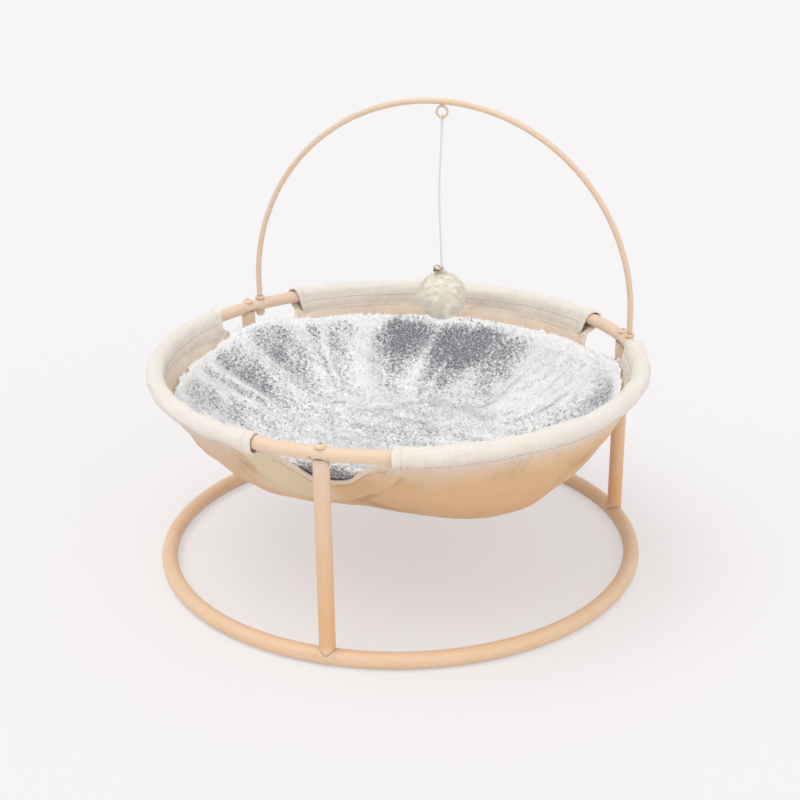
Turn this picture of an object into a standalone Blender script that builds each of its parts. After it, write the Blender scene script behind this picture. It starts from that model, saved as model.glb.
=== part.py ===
"""A cat lounger: a canvas bowl slung in a tube ring on three legs, with a toy under an arch.

Lengths are in metres and angles in degrees. The origin is on the floor at the middle of the
base ring, +Z is up and the front leg stands towards -Y. Angles round the ring are counted
from +X towards +Y.
"""

import math

import bmesh
import bpy
from mathutils import Matrix, Vector

# Ring, rim and legs
RING_RADIUS = 0.240
RIM_HEIGHT = 0.208
BASE_TUBE_DIAMETER = 0.016
BASE_TUBE_WALL = 0.0012
RIM_TUBE_DIAMETER = 0.013
RIM_TUBE_WALL = 0.0010
LEG_DIAMETER = 0.015
LEG_WALL = 0.0012
LEG_SADDLE_DEPTH = 0.003
FRONT_LEG_ANGLE = -90.0
LEG_NAMES = ("front", "right", "left")
FIT_GAP = 0.0003

# Swaged joints that plug one rim tube into the next, hidden in the sleeves
PLUG_LENGTH = 0.024
PLUG_TAPER = 0.003

# Screws and the threaded plugs welded in the ends of each leg
SCREW_DIAMETER = 0.006
SCREW_ENGAGEMENT = 0.011
LEG_PLUG_LENGTH = 0.014
TOP_HEAD_DIAMETER = 0.0115
TOP_HEAD_HEIGHT = 0.0028
BOTTOM_HEAD_DIAMETER = 0.010
BOTTOM_HEAD_HEIGHT = 0.0030
ACCESS_HOLE_DIAMETER = 0.0115
SOCKET_ACROSS_FLATS = 0.0040
SOCKET_DEPTH = 0.0015

# Arch, bent from one rod, with a collar over the rim tube and a cap nut under it
ARCH_ROD_DIAMETER = 0.006
ARCH_STEM_ANGLE = 4.0
ARCH_SPRING_HEIGHT = 0.027
COLLAR_DIAMETER = 0.0105
COLLAR_HEIGHT = 0.0030
CAP_NUT_DIAMETER = 0.0100
CAP_NUT_HEIGHT = 0.0065
CAP_NUT_TOP = 0.0012

# Toy that hangs from an eye under the crown of the arch
EYE_OUTER_DIAMETER = 0.014
EYE_WIRE_DIAMETER = 0.0026
EYE_OFFSET = 0.006
CORD_DIAMETER = 0.0020
CORD_ROUTE = (
    (0.0000, 0.000), (-0.0004, 0.012), (-0.0013, 0.032), (-0.0023, 0.055), (-0.0027, 0.078),
    (-0.0023, 0.101), (-0.0014, 0.122), (-0.0005, 0.141), (0.0000, 0.154),
)
KNOT_DIAMETER = 0.0040
KNOT_FLAT_SHARE = 0.6
KNOT_BULGE_SHARE = 0.35
BELL_DIAMETER = 0.009
BELL_WALL = 0.0006
BELL_SLOT_WIDTH = 0.0012
BELL_SHANK_WIRE = 0.0009
BELL_BEARING = -120.0
PEA_DIAMETER = 0.0028
POMPOM_DIAMETER = 0.052

# Canvas sleeves sewn round the rim tube: the angle from one leg to the sleeve's start and
# the angle from its end to the next leg, in the legs' order
SLEEVE_ENDS = {
    "front_right": (14.6, 7.0),
    "back": (14.6, 14.0),
    "left": (10.5, 15.0),
}
SLEEVE_THICKNESS = 0.0021
SEAM_REACH = 0.0150

# Canvas bowl
CANVAS_THICKNESS = 0.0015
BOWL_DEPTH = 0.098
SLEEVE_FULLNESS = 6.0
LEG_FULLNESS = 3.5
BOWL_SAG = 0.010
LEG_PINCH = 0.006
SCALLOP_DEPTH = 0.016

# Plush pad that lies loose in the bowl
PAD_THICKNESS = 0.0154
PAD_MARGIN = 0.0070
PAD_CLEARANCE = 0.0011
PAD_EDGE_THICKNESS = 0.008
PAD_EDGE_SHARPNESS = 8
PAD_CROWN = 0.004
PLEAT_COUNT = 22
PLEAT_DEPTH = 0.0075
PLEAT_START = 176.0
PLEAT_WANDER = 4.9
PLEAT_WANDER_WAVES = 7
PLEAT_WANDER_PHASE = 134.0
PLEAT_SLANT = 115.0
PLEAT_FOOT = 0.40
PLEAT_FULL = 0.78
PLEAT_EDGE_SHARE = 0.4

# Facets
RING_STEPS = 48
TUBE_SIDES = 12
ROD_SIDES = 8
SLEEVE_SIDES = 8
DOME_STEPS = 4
ROUND_STEPS = 20
SMALL_STEPS = 12
ARCH_STEPS = 32
PLEAT_SIDES = 4
SHEET_RINGS = 7
SHEET_INNER_SHARE = 0.92
SHEET_CLOSING = 0.8
CUT_REACH = 0.020

MERGE_DISTANCE = 0.00001

PART_NAME = "cat_lounger"
LEG_SPACING = 360.0 / len(LEG_NAMES)
RING_PITCH = 360.0 / RING_STEPS
RIM_TUBE_RADIUS = RIM_TUBE_DIAMETER / 2
BASE_TUBE_RADIUS = BASE_TUBE_DIAMETER / 2
HOLE_DIAMETER = SCREW_DIAMETER + 2 * FIT_GAP

# The arch stands on a chord of the ring, its stems just clockwise of the two rear legs
STEM_SIDES = LEG_NAMES[1:]
ARCH_BEARING = FRONT_LEG_ANGLE + 1.5 * LEG_SPACING - ARCH_STEM_ANGLE
HALF_CHORD = RING_RADIUS * math.sin(math.radians(LEG_SPACING / 2))
CHORD_DISTANCE = RING_RADIUS * math.cos(math.radians(LEG_SPACING / 2))
STEM_END = CAP_NUT_TOP - CAP_NUT_HEIGHT - RIM_TUBE_RADIUS

# The eye hangs under the crown and the toy hangs from the eye: heights are over the rim here,
# and below the cord's end for the bell and the pompom
CROWN_RADIUS = HALF_CHORD - ARCH_ROD_DIAMETER / 2
EYE_TOP = ARCH_SPRING_HEIGHT + math.sqrt(CROWN_RADIUS ** 2 - EYE_OFFSET ** 2) - FIT_GAP
EYE_CENTRE = Vector((EYE_OFFSET, 0.0, EYE_TOP - EYE_OUTER_DIAMETER / 2))
LOOP_RADIUS = (EYE_WIRE_DIAMETER + CORD_DIAMETER) / 2 + FIT_GAP
CORD_DROP = LOOP_RADIUS + CORD_DIAMETER / 2 + FIT_GAP
SHANK_RADIUS = (CORD_DIAMETER + BELL_SHANK_WIRE) / 2 + 2 * FIT_GAP
BELL_REACH = SHANK_RADIUS + BELL_DIAMETER / 2
BELL_TO_POMPOM = (BELL_DIAMETER + POMPOM_DIAMETER) / 2 + FIT_GAP
BELL_OVER_POMPOM = math.sqrt(BELL_TO_POMPOM ** 2 - BELL_REACH ** 2)
BELL_CENTRE = BELL_SHANK_WIRE / 2
POMPOM_CENTRE = BELL_CENTRE - BELL_OVER_POMPOM
KNOT_HEIGHT = -POMPOM_CENTRE - POMPOM_DIAMETER / 2 - 2 * FIT_GAP

# The sleeves' seam lies in line with the bowl's wall
SEAM_TURN = math.atan2(BOWL_DEPTH * SLEEVE_FULLNESS, RING_RADIUS)
BOWL_RADIUS = RING_RADIUS - SEAM_REACH * math.cos(SEAM_TURN)
BOWL_EDGE_HEIGHT = RIM_HEIGHT - SEAM_REACH * math.sin(SEAM_TURN)

PAINT = ("frame_paint", (0.86, 0.62, 0.40), 0.45, 0.0)
STEEL = ("plated_steel", (0.62, 0.62, 0.64), 0.30, 1.0)
BRASS = ("bell_metal", (0.80, 0.66, 0.42), 0.22, 1.0)
CANVAS = ("canvas", (0.80, 0.72, 0.60), 0.95, 0.0)
PLUSH = ("plush", (0.58, 0.60, 0.63), 1.0, 0.0)
CORD = ("toy_cord", (0.84, 0.83, 0.81), 0.85, 0.0)
POMPOM = ("pompom", (0.93, 0.88, 0.76), 1.0, 0.0)


def clear_scene():
    """Remove every object, so that the script can be run again."""
    for old in list(bpy.data.objects):
        bpy.data.objects.remove(old, do_unlink=True)


def collection_named(name):
    """Return the collection of that name, linked to the scene."""
    found = bpy.data.collections.get(name)
    if found is None:
        found = bpy.data.collections.new(name)
        bpy.context.scene.collection.children.link(found)
    return found


def material_of(spec):
    """Return the Principled material for a (name, colour, roughness, metallic) spec."""
    name, colour, roughness, metallic = spec
    found = bpy.data.materials.get(name)
    if found is None:
        found = bpy.data.materials.new(name)
        found.use_nodes = True
        shader = found.node_tree.nodes["Principled BSDF"]
        shader.inputs["Base Color"].default_value = (*colour, 1.0)
        shader.inputs["Roughness"].default_value = roughness
        shader.inputs["Metallic"].default_value = metallic
        found.diffuse_color = (*colour, 1.0)
    return found


def add_part(name, data, spec):
    """Add a named sub-part made from mesh or curve data."""
    part = bpy.data.objects.new(name, data)
    data.materials.clear()
    data.materials.append(material_of(spec))
    collection_named(PART_NAME).objects.link(part)
    return part


def add_cutter(name, data):
    """Add a cutter, drawn as wire and left out of the part."""
    cutter = bpy.data.objects.new(name, data)
    collection_named("cutters").objects.link(cutter)
    cutter.hide_render = True
    cutter.display_type = "WIRE"
    return cutter


def boolean(part, cutter, operation="DIFFERENCE"):
    """Cut the part with, or join it to, another object."""
    change = part.modifiers.new(cutter.name, "BOOLEAN")
    change.operation = operation
    change.object = cutter
    change.solver = "EXACT"


def smooth(mesh, angle=40.0):
    """Shade a round mesh smooth, with sharp edges past the angle."""
    mesh.shade_smooth()
    mesh.set_sharp_from_angle(angle=math.radians(angle))


def polar(radius, bearing, height=0.0):
    """Return the point at a radius and bearing round the ring, at a height."""
    turn = math.radians(bearing)
    return Vector((radius * math.cos(turn), radius * math.sin(turn), height))


def leg_bearing(name):
    """Return the angle round the ring at which a leg stands."""
    return FRONT_LEG_ANGLE + LEG_SPACING * LEG_NAMES.index(name)


def place(part, bearing, height):
    """Stand a part on the ring's centreline at a bearing and a height."""
    part.location = polar(RING_RADIUS, bearing, height)
    part.rotation_euler = (0.0, 0.0, math.radians(bearing))


def turned_mesh(name, profile, closed=False):
    """Return the mesh of a profile of (radius, height) pairs, which runs down its outer side."""
    mesh = bpy.data.meshes.new(name)
    points = [(radius, 0.0, height) for radius, height in profile]
    edges = [(i, i + 1) for i in range(len(points) - 1)]
    if closed:
        edges.append((len(points) - 1, 0))
    mesh.from_pydata(points, edges, [])
    return mesh


def spin_profile(part, steps=ROUND_STEPS):
    """Turn the part's profile about its own Z axis."""
    screw = part.modifiers.new("turn", "SCREW")
    screw.angle = 2 * math.pi
    screw.steps = steps
    screw.render_steps = steps
    screw.use_merge_vertices = True
    screw.merge_threshold = MERGE_DISTANCE
    screw.use_smooth_shade = True


def add_turned(name, profile, spec, closed=False, steps=ROUND_STEPS):
    """Add a turned sub-part."""
    part = add_part(name, turned_mesh(name, profile, closed), spec)
    spin_profile(part, steps)
    return part


def cylinder_mesh(name, diameter, low, high, sides=ROUND_STEPS, turn=0.0):
    """Return a cylinder on the Z axis between two heights."""
    mesh = bpy.data.meshes.new(name)
    form = bmesh.new()
    middle = Matrix.Translation((0.0, 0.0, (low + high) / 2)) @ Matrix.Rotation(turn, 4, "Z")
    bmesh.ops.create_cone(
        form, cap_ends=True, segments=sides, radius1=diameter / 2, radius2=diameter / 2,
        depth=high - low, matrix=middle)
    form.to_mesh(mesh)
    form.free()
    smooth(mesh)
    return mesh


def tube_curve(name, path, diameter, cyclic=False, scales=None):
    """Return a level curve with a round section, whose facets lie at the stated diameter.

    The section is turned half a side, so that a facet, and not a corner, faces straight up
    and straight down, and the tube has a real flat strip to stand on.
    """
    half_side = math.pi / TUBE_SIDES
    curve = rod_curve(name, path, diameter / math.cos(half_side), cyclic, TUBE_SIDES)
    curve.twist_mode = "Z_UP"
    for index, point in enumerate(curve.splines[0].points):
        point.tilt = half_side
        point.radius = scales[index] if scales else 1.0
    return curve


def rod_curve(name, path, diameter, cyclic=False, sides=ROD_SIDES):
    """Return a curve with a round section along any path."""
    curve = bpy.data.curves.new(name, "CURVE")
    curve.dimensions = "3D"
    curve.twist_mode = "MINIMUM"
    curve.bevel_resolution = (sides - 4) // 2
    curve.bevel_depth = diameter / 2
    curve.use_fill_caps = not cyclic
    line = curve.splines.new("POLY")
    line.points.add(len(path) - 1)
    line.use_cyclic_u = cyclic
    for index, spot in enumerate(path):
        line.points[index].co = (*spot, 1.0)
    return curve


def mesh_of_curve(curve):
    """Turn curve data into a mesh, with its caps welded on."""
    holder = bpy.data.objects.new("holder", curve)
    bpy.context.scene.collection.objects.link(holder)
    bpy.context.view_layer.update()
    evaluated = holder.evaluated_get(bpy.context.evaluated_depsgraph_get())
    mesh = bpy.data.meshes.new_from_object(evaluated)
    bpy.data.objects.remove(holder)
    form = bmesh.new()
    form.from_mesh(mesh)
    bmesh.ops.remove_doubles(form, verts=form.verts, dist=MERGE_DISTANCE)
    bmesh.ops.recalc_face_normals(form, faces=form.faces)
    form.to_mesh(mesh)
    form.free()
    smooth(mesh)
    return mesh


def bearings_between(start, end):
    """Return the start, every bearing of the common grid in between, and the end.

    All rings and sheets have their facets' corners on this grid, so what lies against
    another keeps an even gap to it.
    """
    first = math.floor(start / RING_PITCH) + 1
    last = math.ceil(end / RING_PITCH)
    return [start] + [RING_PITCH * i for i in range(first, last)] + [end]


def ring_spot(bearing, height):
    """Return a point of the ring's centreline, on the straight run between two grid corners."""
    middle = RING_PITCH * (math.floor(bearing / RING_PITCH) + 0.5)
    run = math.cos(math.radians(RING_PITCH / 2)) / math.cos(math.radians(bearing - middle))
    return polar(RING_RADIUS * run, bearing, height)


def full_ring(height):
    """Return the points of a whole ring on the common grid."""
    return [polar(RING_RADIUS, RING_PITCH * i, height) for i in range(RING_STEPS)]


def ring_tool(name, height, diameter):
    """Add a full ring of tube as a cutter."""
    curve = tube_curve(name, full_ring(height), diameter, cyclic=True)
    return add_cutter(name, mesh_of_curve(curve))


def hollow(part, wall):
    """Give an open or endless tube its wall, inwards."""
    shell = part.modifiers.new("wall", "SOLIDIFY")
    shell.thickness = wall
    shell.offset = -1.0
    shell.use_even_offset = True


def drill(part, name, diameter, bearing, low, high):
    """Drill a vertical hole through a tube of the ring.

    The drill is turned half a side, so that no corner of it lies in a joint between two of
    the tube's sections, where the cut would leave an edge of no length.
    """
    half_side = math.pi / ROUND_STEPS
    tool = add_cutter(name, cylinder_mesh(name, diameter, low, high, turn=half_side))
    place(tool, bearing, 0.0)
    boolean(part, tool)


def build_base_ring():
    """Build the welded ring that stands on the floor, with a screw hole at each leg."""
    curve = tube_curve("base_ring", full_ring(BASE_TUBE_RADIUS), BASE_TUBE_DIAMETER, cyclic=True)
    ring = add_part("base_ring", mesh_of_curve(curve), PAINT)
    hollow(ring, BASE_TUBE_WALL)
    for name in LEG_NAMES:
        bearing = leg_bearing(name)
        drill(ring, f"base_screw_hole_{name}", HOLE_DIAMETER, bearing,
              BASE_TUBE_RADIUS, BASE_TUBE_DIAMETER + CUT_REACH)
        drill(ring, f"base_access_hole_{name}", ACCESS_HOLE_DIAMETER, bearing,
              -CUT_REACH, BASE_TUBE_RADIUS)


def build_rim_arc(name):
    """Build one third of the rim, whose far end is swaged down to plug into the next one."""
    start = leg_bearing(name) - LEG_SPACING / 2
    end = start + LEG_SPACING
    taper = math.degrees(PLUG_TAPER / RING_RADIUS)
    plug = math.degrees(PLUG_LENGTH / RING_RADIUS)
    bearings = bearings_between(start + math.degrees(FIT_GAP / RING_RADIUS), end - taper)
    scales = [1.0] * len(bearings)
    for bearing in bearings_between(end, end + plug):
        bearings.append(bearing)
        scales.append((RIM_TUBE_RADIUS - RIM_TUBE_WALL - FIT_GAP) / RIM_TUBE_RADIUS)
    path = [ring_spot(bearing, RIM_HEIGHT) for bearing in bearings]
    curve = tube_curve(f"rim_arc_{name}", path, RIM_TUBE_DIAMETER, scales=scales)
    curve.use_fill_caps = False
    arc = add_part(f"rim_arc_{name}", mesh_of_curve(curve), PAINT)
    hollow(arc, RIM_TUBE_WALL)
    low = RIM_HEIGHT - CUT_REACH
    high = RIM_HEIGHT + CUT_REACH
    drill(arc, f"rim_screw_hole_{name}", HOLE_DIAMETER, leg_bearing(name), low, high)
    if name in STEM_SIDES:
        hole = ARCH_ROD_DIAMETER + 2 * FIT_GAP
        drill(arc, f"rim_stem_hole_{name}", hole, leg_bearing(name) - ARCH_STEM_ANGLE, low, high)


def build_leg(name, base_tool, rim_tool):
    """Build a leg: a tube coped to sit on the base ring and to carry the rim."""
    low = BASE_TUBE_DIAMETER - LEG_SADDLE_DEPTH
    high = RIM_HEIGHT - RIM_TUBE_RADIUS + LEG_SADDLE_DEPTH
    leg = add_part(f"leg_{name}", cylinder_mesh("leg", LEG_DIAMETER, low, high), PAINT)
    place(leg, leg_bearing(name), 0.0)
    bore = LEG_DIAMETER - 2 * LEG_WALL
    drill(leg, f"leg_bore_{name}", bore, leg_bearing(name), low - CUT_REACH, high + CUT_REACH)
    boolean(leg, base_tool)
    boolean(leg, rim_tool)


def build_leg_plugs(name):
    """Build the two threaded plugs welded in a leg's ends, which the screws go into."""
    outer = LEG_DIAMETER / 2 - LEG_WALL - FIT_GAP
    bore = HOLE_DIAMETER / 2
    top = RIM_HEIGHT - RIM_TUBE_RADIUS - FIT_GAP
    bottom = BASE_TUBE_DIAMETER + FIT_GAP + LEG_PLUG_LENGTH
    for end, height in (("top", top), ("bottom", bottom)):
        ring = ((outer, 0.0), (outer, -LEG_PLUG_LENGTH), (bore, -LEG_PLUG_LENGTH), (bore, 0.0))
        plug = add_turned(f"leg_plug_{end}_{name}", ring, STEEL, closed=True, steps=SMALL_STEPS)
        place(plug, leg_bearing(name), height)


def dome(radius, height):
    """Return a dome's profile, from its tip on the axis to just short of its rim."""
    turns = [math.pi / 2 * i / DOME_STEPS for i in range(DOME_STEPS)]
    return [(radius * math.sin(turn), height * math.cos(turn)) for turn in turns]


def screw_profile(head_diameter, head_height, length, domed):
    """Return a screw's profile, with the underside of its head at height nought."""
    head = head_diameter / 2
    shaft = SCREW_DIAMETER / 2
    top = dome(head, head_height) if domed else [(0.0, head_height), (head, head_height)]
    return top + [(head, 0.0), (shaft, 0.0), (shaft, -length), (0.0, -length)]


def add_screw(name, head_diameter, head_height, length, domed, spec):
    """Add a screw with a hexagon socket in its head."""
    profile = screw_profile(head_diameter, head_height, length, domed)
    screw = add_turned(name, profile, spec, steps=SMALL_STEPS)
    corners = SOCKET_ACROSS_FLATS / math.cos(math.pi / 6)
    floor = head_height - SOCKET_DEPTH
    tool = add_cutter(f"{name}_socket", cylinder_mesh(name, corners, floor, CUT_REACH, sides=6))
    tool.parent = screw
    boolean(screw, tool)
    return screw


def build_screws(name):
    """Build the button-head screw over the rim and the hidden one inside the base ring."""
    bearing = leg_bearing(name)
    top_length = RIM_TUBE_DIAMETER + 2 * FIT_GAP + SCREW_ENGAGEMENT
    top = add_screw(f"top_screw_{name}", TOP_HEAD_DIAMETER, TOP_HEAD_HEIGHT, top_length, True,
                    PAINT)
    place(top, bearing, RIM_HEIGHT + RIM_TUBE_RADIUS + FIT_GAP)
    bore = BASE_TUBE_RADIUS - BASE_TUBE_WALL - FIT_GAP
    seat = BASE_TUBE_RADIUS + math.sqrt(bore ** 2 - (BOTTOM_HEAD_DIAMETER / 2) ** 2)
    bottom_length = BASE_TUBE_DIAMETER + FIT_GAP + SCREW_ENGAGEMENT - seat
    bottom = add_screw(f"bottom_screw_{name}", BOTTOM_HEAD_DIAMETER, BOTTOM_HEAD_HEIGHT,
                       bottom_length, False, STEEL)
    place(bottom, bearing, seat)
    bottom.rotation_euler.x = math.pi


def add_empty(name, parent, location):
    """Add a small empty that carries what turns or stands with it."""
    empty = bpy.data.objects.new(name, None)
    empty.empty_display_size = 0.01
    collection_named(PART_NAME).objects.link(empty)
    empty.parent = parent
    empty.location = location
    return empty


def build_arch(frame):
    """Build the arch: a rod bent in a half circle over two straight stems."""
    path = [Vector((-HALF_CHORD, 0.0, STEM_END)), Vector((-HALF_CHORD, 0.0, 0.0))]
    for step in range(ARCH_STEPS + 1):
        turn = math.pi * (1.0 - step / ARCH_STEPS)
        height = ARCH_SPRING_HEIGHT + HALF_CHORD * math.sin(turn)
        path.append(Vector((HALF_CHORD * math.cos(turn), 0.0, height)))
    path += [Vector((HALF_CHORD, 0.0, 0.0)), Vector((HALF_CHORD, 0.0, STEM_END))]
    arch = add_part("toy_arch", rod_curve("toy_arch", path, ARCH_ROD_DIAMETER), PAINT)
    arch.parent = frame


def build_arch_fixings(frame):
    """Build the collar that each stem stands on and the cap nut that holds it from below."""
    bore = ARCH_ROD_DIAMETER / 2 + FIT_GAP
    edge = RIM_TUBE_RADIUS + FIT_GAP
    for side, across in (("right", HALF_CHORD), ("left", -HALF_CHORD)):
        outer = COLLAR_DIAMETER / 2
        ring = ((outer, COLLAR_HEIGHT), (outer, 0.0), (bore, 0.0), (bore, COLLAR_HEIGHT))
        collar = add_turned(f"arch_collar_{side}", ring, PAINT, closed=True, steps=SMALL_STEPS)
        collar.parent = frame
        collar.location = (across, 0.0, edge)
        floor = CAP_NUT_TOP - CAP_NUT_HEIGHT
        body = CAP_NUT_DIAMETER / 2
        waist = -CAP_NUT_HEIGHT / 2
        profile = [(0.0, floor), (bore, floor), (bore, 0.0), (body, 0.0), (body, waist)]
        profile += [(radius, waist - rise) for radius, rise in reversed(dome(body, -waist))]
        nut = add_turned(f"arch_nut_{side}", profile, PAINT, steps=SMALL_STEPS)
        nut.parent = frame
        nut.location = (across, 0.0, -edge)


def circle_path(centre, radius, first, second, steps):
    """Return the points of a circle in the plane of two unit directions."""
    turns = [2 * math.pi * i / steps for i in range(steps)]
    return [centre + radius * (math.cos(a) * first + math.sin(a) * second) for a in turns]


def build_eye_and_loop(frame):
    """Build the eye welded under the crown and the cord's loop, which slides round its wire."""
    along = Vector((1.0, 0.0, 0.0))
    deep = Vector((0.0, 1.0, 0.0))
    up = Vector((0.0, 0.0, 1.0))
    wire_circle = (EYE_OUTER_DIAMETER - EYE_WIRE_DIAMETER) / 2
    ring = circle_path(Vector(), wire_circle, along, up, ROUND_STEPS)
    eye = add_part("toy_eye", rod_curve("toy_eye", ring, EYE_WIRE_DIAMETER, cyclic=True), PAINT)
    eye.parent = frame
    eye.location = EYE_CENTRE
    low = Vector((0.0, 0.0, -wire_circle))
    bend = circle_path(low, LOOP_RADIUS, deep, up, SMALL_STEPS)
    loop = add_part("toy_loop", rod_curve("toy_loop", bend, CORD_DIAMETER, cyclic=True), CORD)
    loop.parent = frame
    loop.location = EYE_CENTRE


def smooth_route(route, pitch):
    """Return points read at an even pitch from a smooth curve through the route's own."""
    spots = [Vector((across, 0.0, -drop)) for across, drop in route]
    spots = [2 * spots[0] - spots[1]] + spots + [2 * spots[-1] - spots[-2]]
    path = []
    for before, start, end, after in zip(spots, spots[1:], spots[2:], spots[3:]):
        count = max(1, round((end - start).length / pitch))
        for step in range(count):
            t = step / count
            path.append(0.5 * (
                2 * start + (end - before) * t
                + (2 * before - 5 * start + 4 * end - after) * t ** 2
                + (3 * start - before - 3 * end + after) * t ** 3))
    return path + [spots[-2]]


def build_cord(pivot):
    """Build the toy's cord, from under the loop to the top of the knot."""
    path = smooth_route(CORD_ROUTE, 2.5 * CORD_DIAMETER)
    cord = add_part("toy_cord", rod_curve("toy_cord", path, CORD_DIAMETER), CORD)
    cord.parent = pivot
    cord.location = (0.0, 0.0, -CORD_DROP)


def ball_profile(radius, count, low=0.0):
    """Return the profile of a ball that stands on the height low."""
    turns = [math.pi * i / count for i in range(count + 1)]
    profile = [(radius * math.sin(a), low + radius * (1.0 + math.cos(a))) for a in turns]
    profile[0] = (0.0, profile[0][1])
    profile[-1] = (0.0, profile[-1][1])
    return profile


def build_knot_and_pompom(twist):
    """Build the knot at the cord's end and the pompom that hangs under it."""
    bulge = KNOT_DIAMETER / 2
    flat = bulge * KNOT_FLAT_SHARE
    rise = KNOT_HEIGHT * KNOT_BULGE_SHARE
    profile = [(0.0, 0.0), (flat, 0.0), (bulge, -rise), (bulge, rise - KNOT_HEIGHT),
               (flat, -KNOT_HEIGHT), (0.0, -KNOT_HEIGHT)]
    knot = add_turned("cord_knot", profile, CORD, steps=SMALL_STEPS)
    knot.parent = twist
    knot.location.z = -FIT_GAP
    count = ROUND_STEPS // 2
    ball = ball_profile(POMPOM_DIAMETER / 2, count, POMPOM_CENTRE - POMPOM_DIAMETER / 2)
    pompom = add_turned("pompom", ball, POMPOM)
    pompom.parent = twist


def build_bell(twist):
    """Build the bell, hooked on the cord by its shank, with the pea that rings it."""
    radius = BELL_DIAMETER / 2
    holder = add_empty("bell_axis", twist, (0.0, 0.0, BELL_CENTRE))
    holder.rotation_euler.z = math.radians(BELL_BEARING)
    bell = add_turned("bell", ball_profile(radius, SMALL_STEPS // 2, -radius), BRASS,
                      steps=SMALL_STEPS)
    bell.parent = holder
    bell.location = (BELL_REACH, 0.0, 0.0)
    bell.rotation_euler.y = math.radians(-90.0)
    hollow(bell, BELL_WALL)
    slot = add_cutter("bell_slot", cylinder_mesh("bell_slot", 1.0, -0.5, 0.5, sides=4,
                                                 turn=math.radians(45.0)))
    root = math.sqrt(2.0)
    slot.scale = (BELL_DIAMETER * root, BELL_SLOT_WIDTH * root, radius)
    slot.location = (0.0, 0.0, -radius)
    slot.parent = bell
    boolean(bell, slot)
    along = Vector((1.0, 0.0, 0.0))
    deep = Vector((0.0, 1.0, 0.0))
    ring = circle_path(Vector(), SHANK_RADIUS, along, deep, SMALL_STEPS)
    curve = rod_curve("bell_shank", ring, BELL_SHANK_WIRE, cyclic=True)
    shank = add_cutter("bell_shank", mesh_of_curve(curve))
    shank.parent = holder
    boolean(bell, shank, "UNION")
    pea_radius = PEA_DIAMETER / 2
    rest = BELL_WALL + FIT_GAP - radius
    pea = add_turned("bell_pea", ball_profile(pea_radius, SMALL_STEPS // 2, rest), STEEL,
                     steps=SMALL_STEPS)
    pea.parent = holder
    pea.location = (BELL_REACH, 0.0, 0.0)


def build_toy():
    """Build the arch with the toy that swings from it."""
    frame = add_empty("arch_frame", None, polar(CHORD_DISTANCE, ARCH_BEARING, RIM_HEIGHT))
    frame.rotation_euler.z = math.radians(ARCH_BEARING - 90.0)
    build_arch(frame)
    build_arch_fixings(frame)
    build_eye_and_loop(frame)
    wire_circle = (EYE_OUTER_DIAMETER - EYE_WIRE_DIAMETER) / 2
    pivot = add_empty("toy_pivot", frame, EYE_CENTRE - Vector((0.0, 0.0, wire_circle)))
    build_cord(pivot)
    across, drop = CORD_ROUTE[-1]
    twist = add_empty("twist_axis", pivot, (across, 0.0, -CORD_DROP - drop))
    build_knot_and_pompom(twist)
    build_bell(twist)


def sleeve_span(index):
    """Return the bearings at which a sleeve starts and ends."""
    after, before = list(SLEEVE_ENDS.values())[index]
    start = FRONT_LEG_ANGLE + LEG_SPACING * index
    return start + after, start + LEG_SPACING - before


def sleeve_section():
    """Return the sleeve's outline across the ring: a round closed by two straight flanks."""
    outer = RIM_TUBE_RADIUS + FIT_GAP + SLEEVE_THICKNESS
    reach = SEAM_REACH - FIT_GAP
    flank = math.hypot(reach, CANVAS_THICKNESS)
    touch = math.atan2(CANVAS_THICKNESS, reach) + math.acos(outer / flank)
    sweep = 2 * (math.pi - touch)
    turns = [touch + sweep * i / SLEEVE_SIDES for i in range(SLEEVE_SIDES + 1)]
    outline = [(outer * math.cos(turn), outer * math.sin(turn)) for turn in turns]
    outline += [(reach, -CANVAS_THICKNESS), (reach, CANVAS_THICKNESS)]
    return outline


def build_sleeve(name, index, rim_tool):
    """Build a sleeve: its outline swept along the rim, with the rim tube's bore."""
    start, end = sleeve_span(index)
    bearings = bearings_between(start, end)
    form = bmesh.new()
    corners = []
    for reach, side in sleeve_section():
        inward = reach * math.cos(SEAM_TURN) - side * math.sin(SEAM_TURN)
        down = reach * math.sin(SEAM_TURN) + side * math.cos(SEAM_TURN)
        corners.append(form.verts.new(polar(RING_RADIUS - inward, start, RIM_HEIGHT - down)))
    sections = [form.faces.new(corners)]
    for here, there in zip(bearings, bearings[1:]):
        swept = bmesh.ops.spin(
            form, geom=sections[-1:], cent=(0.0, 0.0, 0.0), axis=(0.0, 0.0, 1.0),
            angle=math.radians(there - here), steps=1)
        sections += [item for item in swept["geom_last"] if isinstance(item, bmesh.types.BMFace)]
    bmesh.ops.delete(form, geom=sections[1:-1], context="FACES_ONLY")
    bmesh.ops.recalc_face_normals(form, faces=form.faces)
    mesh = bpy.data.meshes.new(name)
    form.to_mesh(mesh)
    form.free()
    smooth(mesh)
    sleeve = add_part(f"sleeve_{name}", mesh, CANVAS)
    boolean(sleeve, rim_tool)


def turn_between(one, other):
    """Return the angle from one bearing to another, from -180 to 180."""
    return (one - other + 180.0) % 360.0 - 180.0


def gap_share(bearing):
    """Return 0 under a sleeve, rising to 1 in the middle of the gap at a leg."""
    for index in range(len(LEG_NAMES)):
        start = sleeve_span(index - 1)[1]
        half = turn_between(sleeve_span(index)[0], start) / 2
        place_in_gap = turn_between(bearing, start + half) / half
        if abs(place_in_gap) < 1.0:
            return 1.0 - place_in_gap ** 4
    return 0.0


def leg_share(bearing):
    """Return 1 at a leg, falling in a wave to 0 midway between two legs."""
    turn = math.radians(bearing - FRONT_LEG_ANGLE) * len(LEG_NAMES)
    return 0.5 + 0.5 * math.cos(turn)


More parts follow.
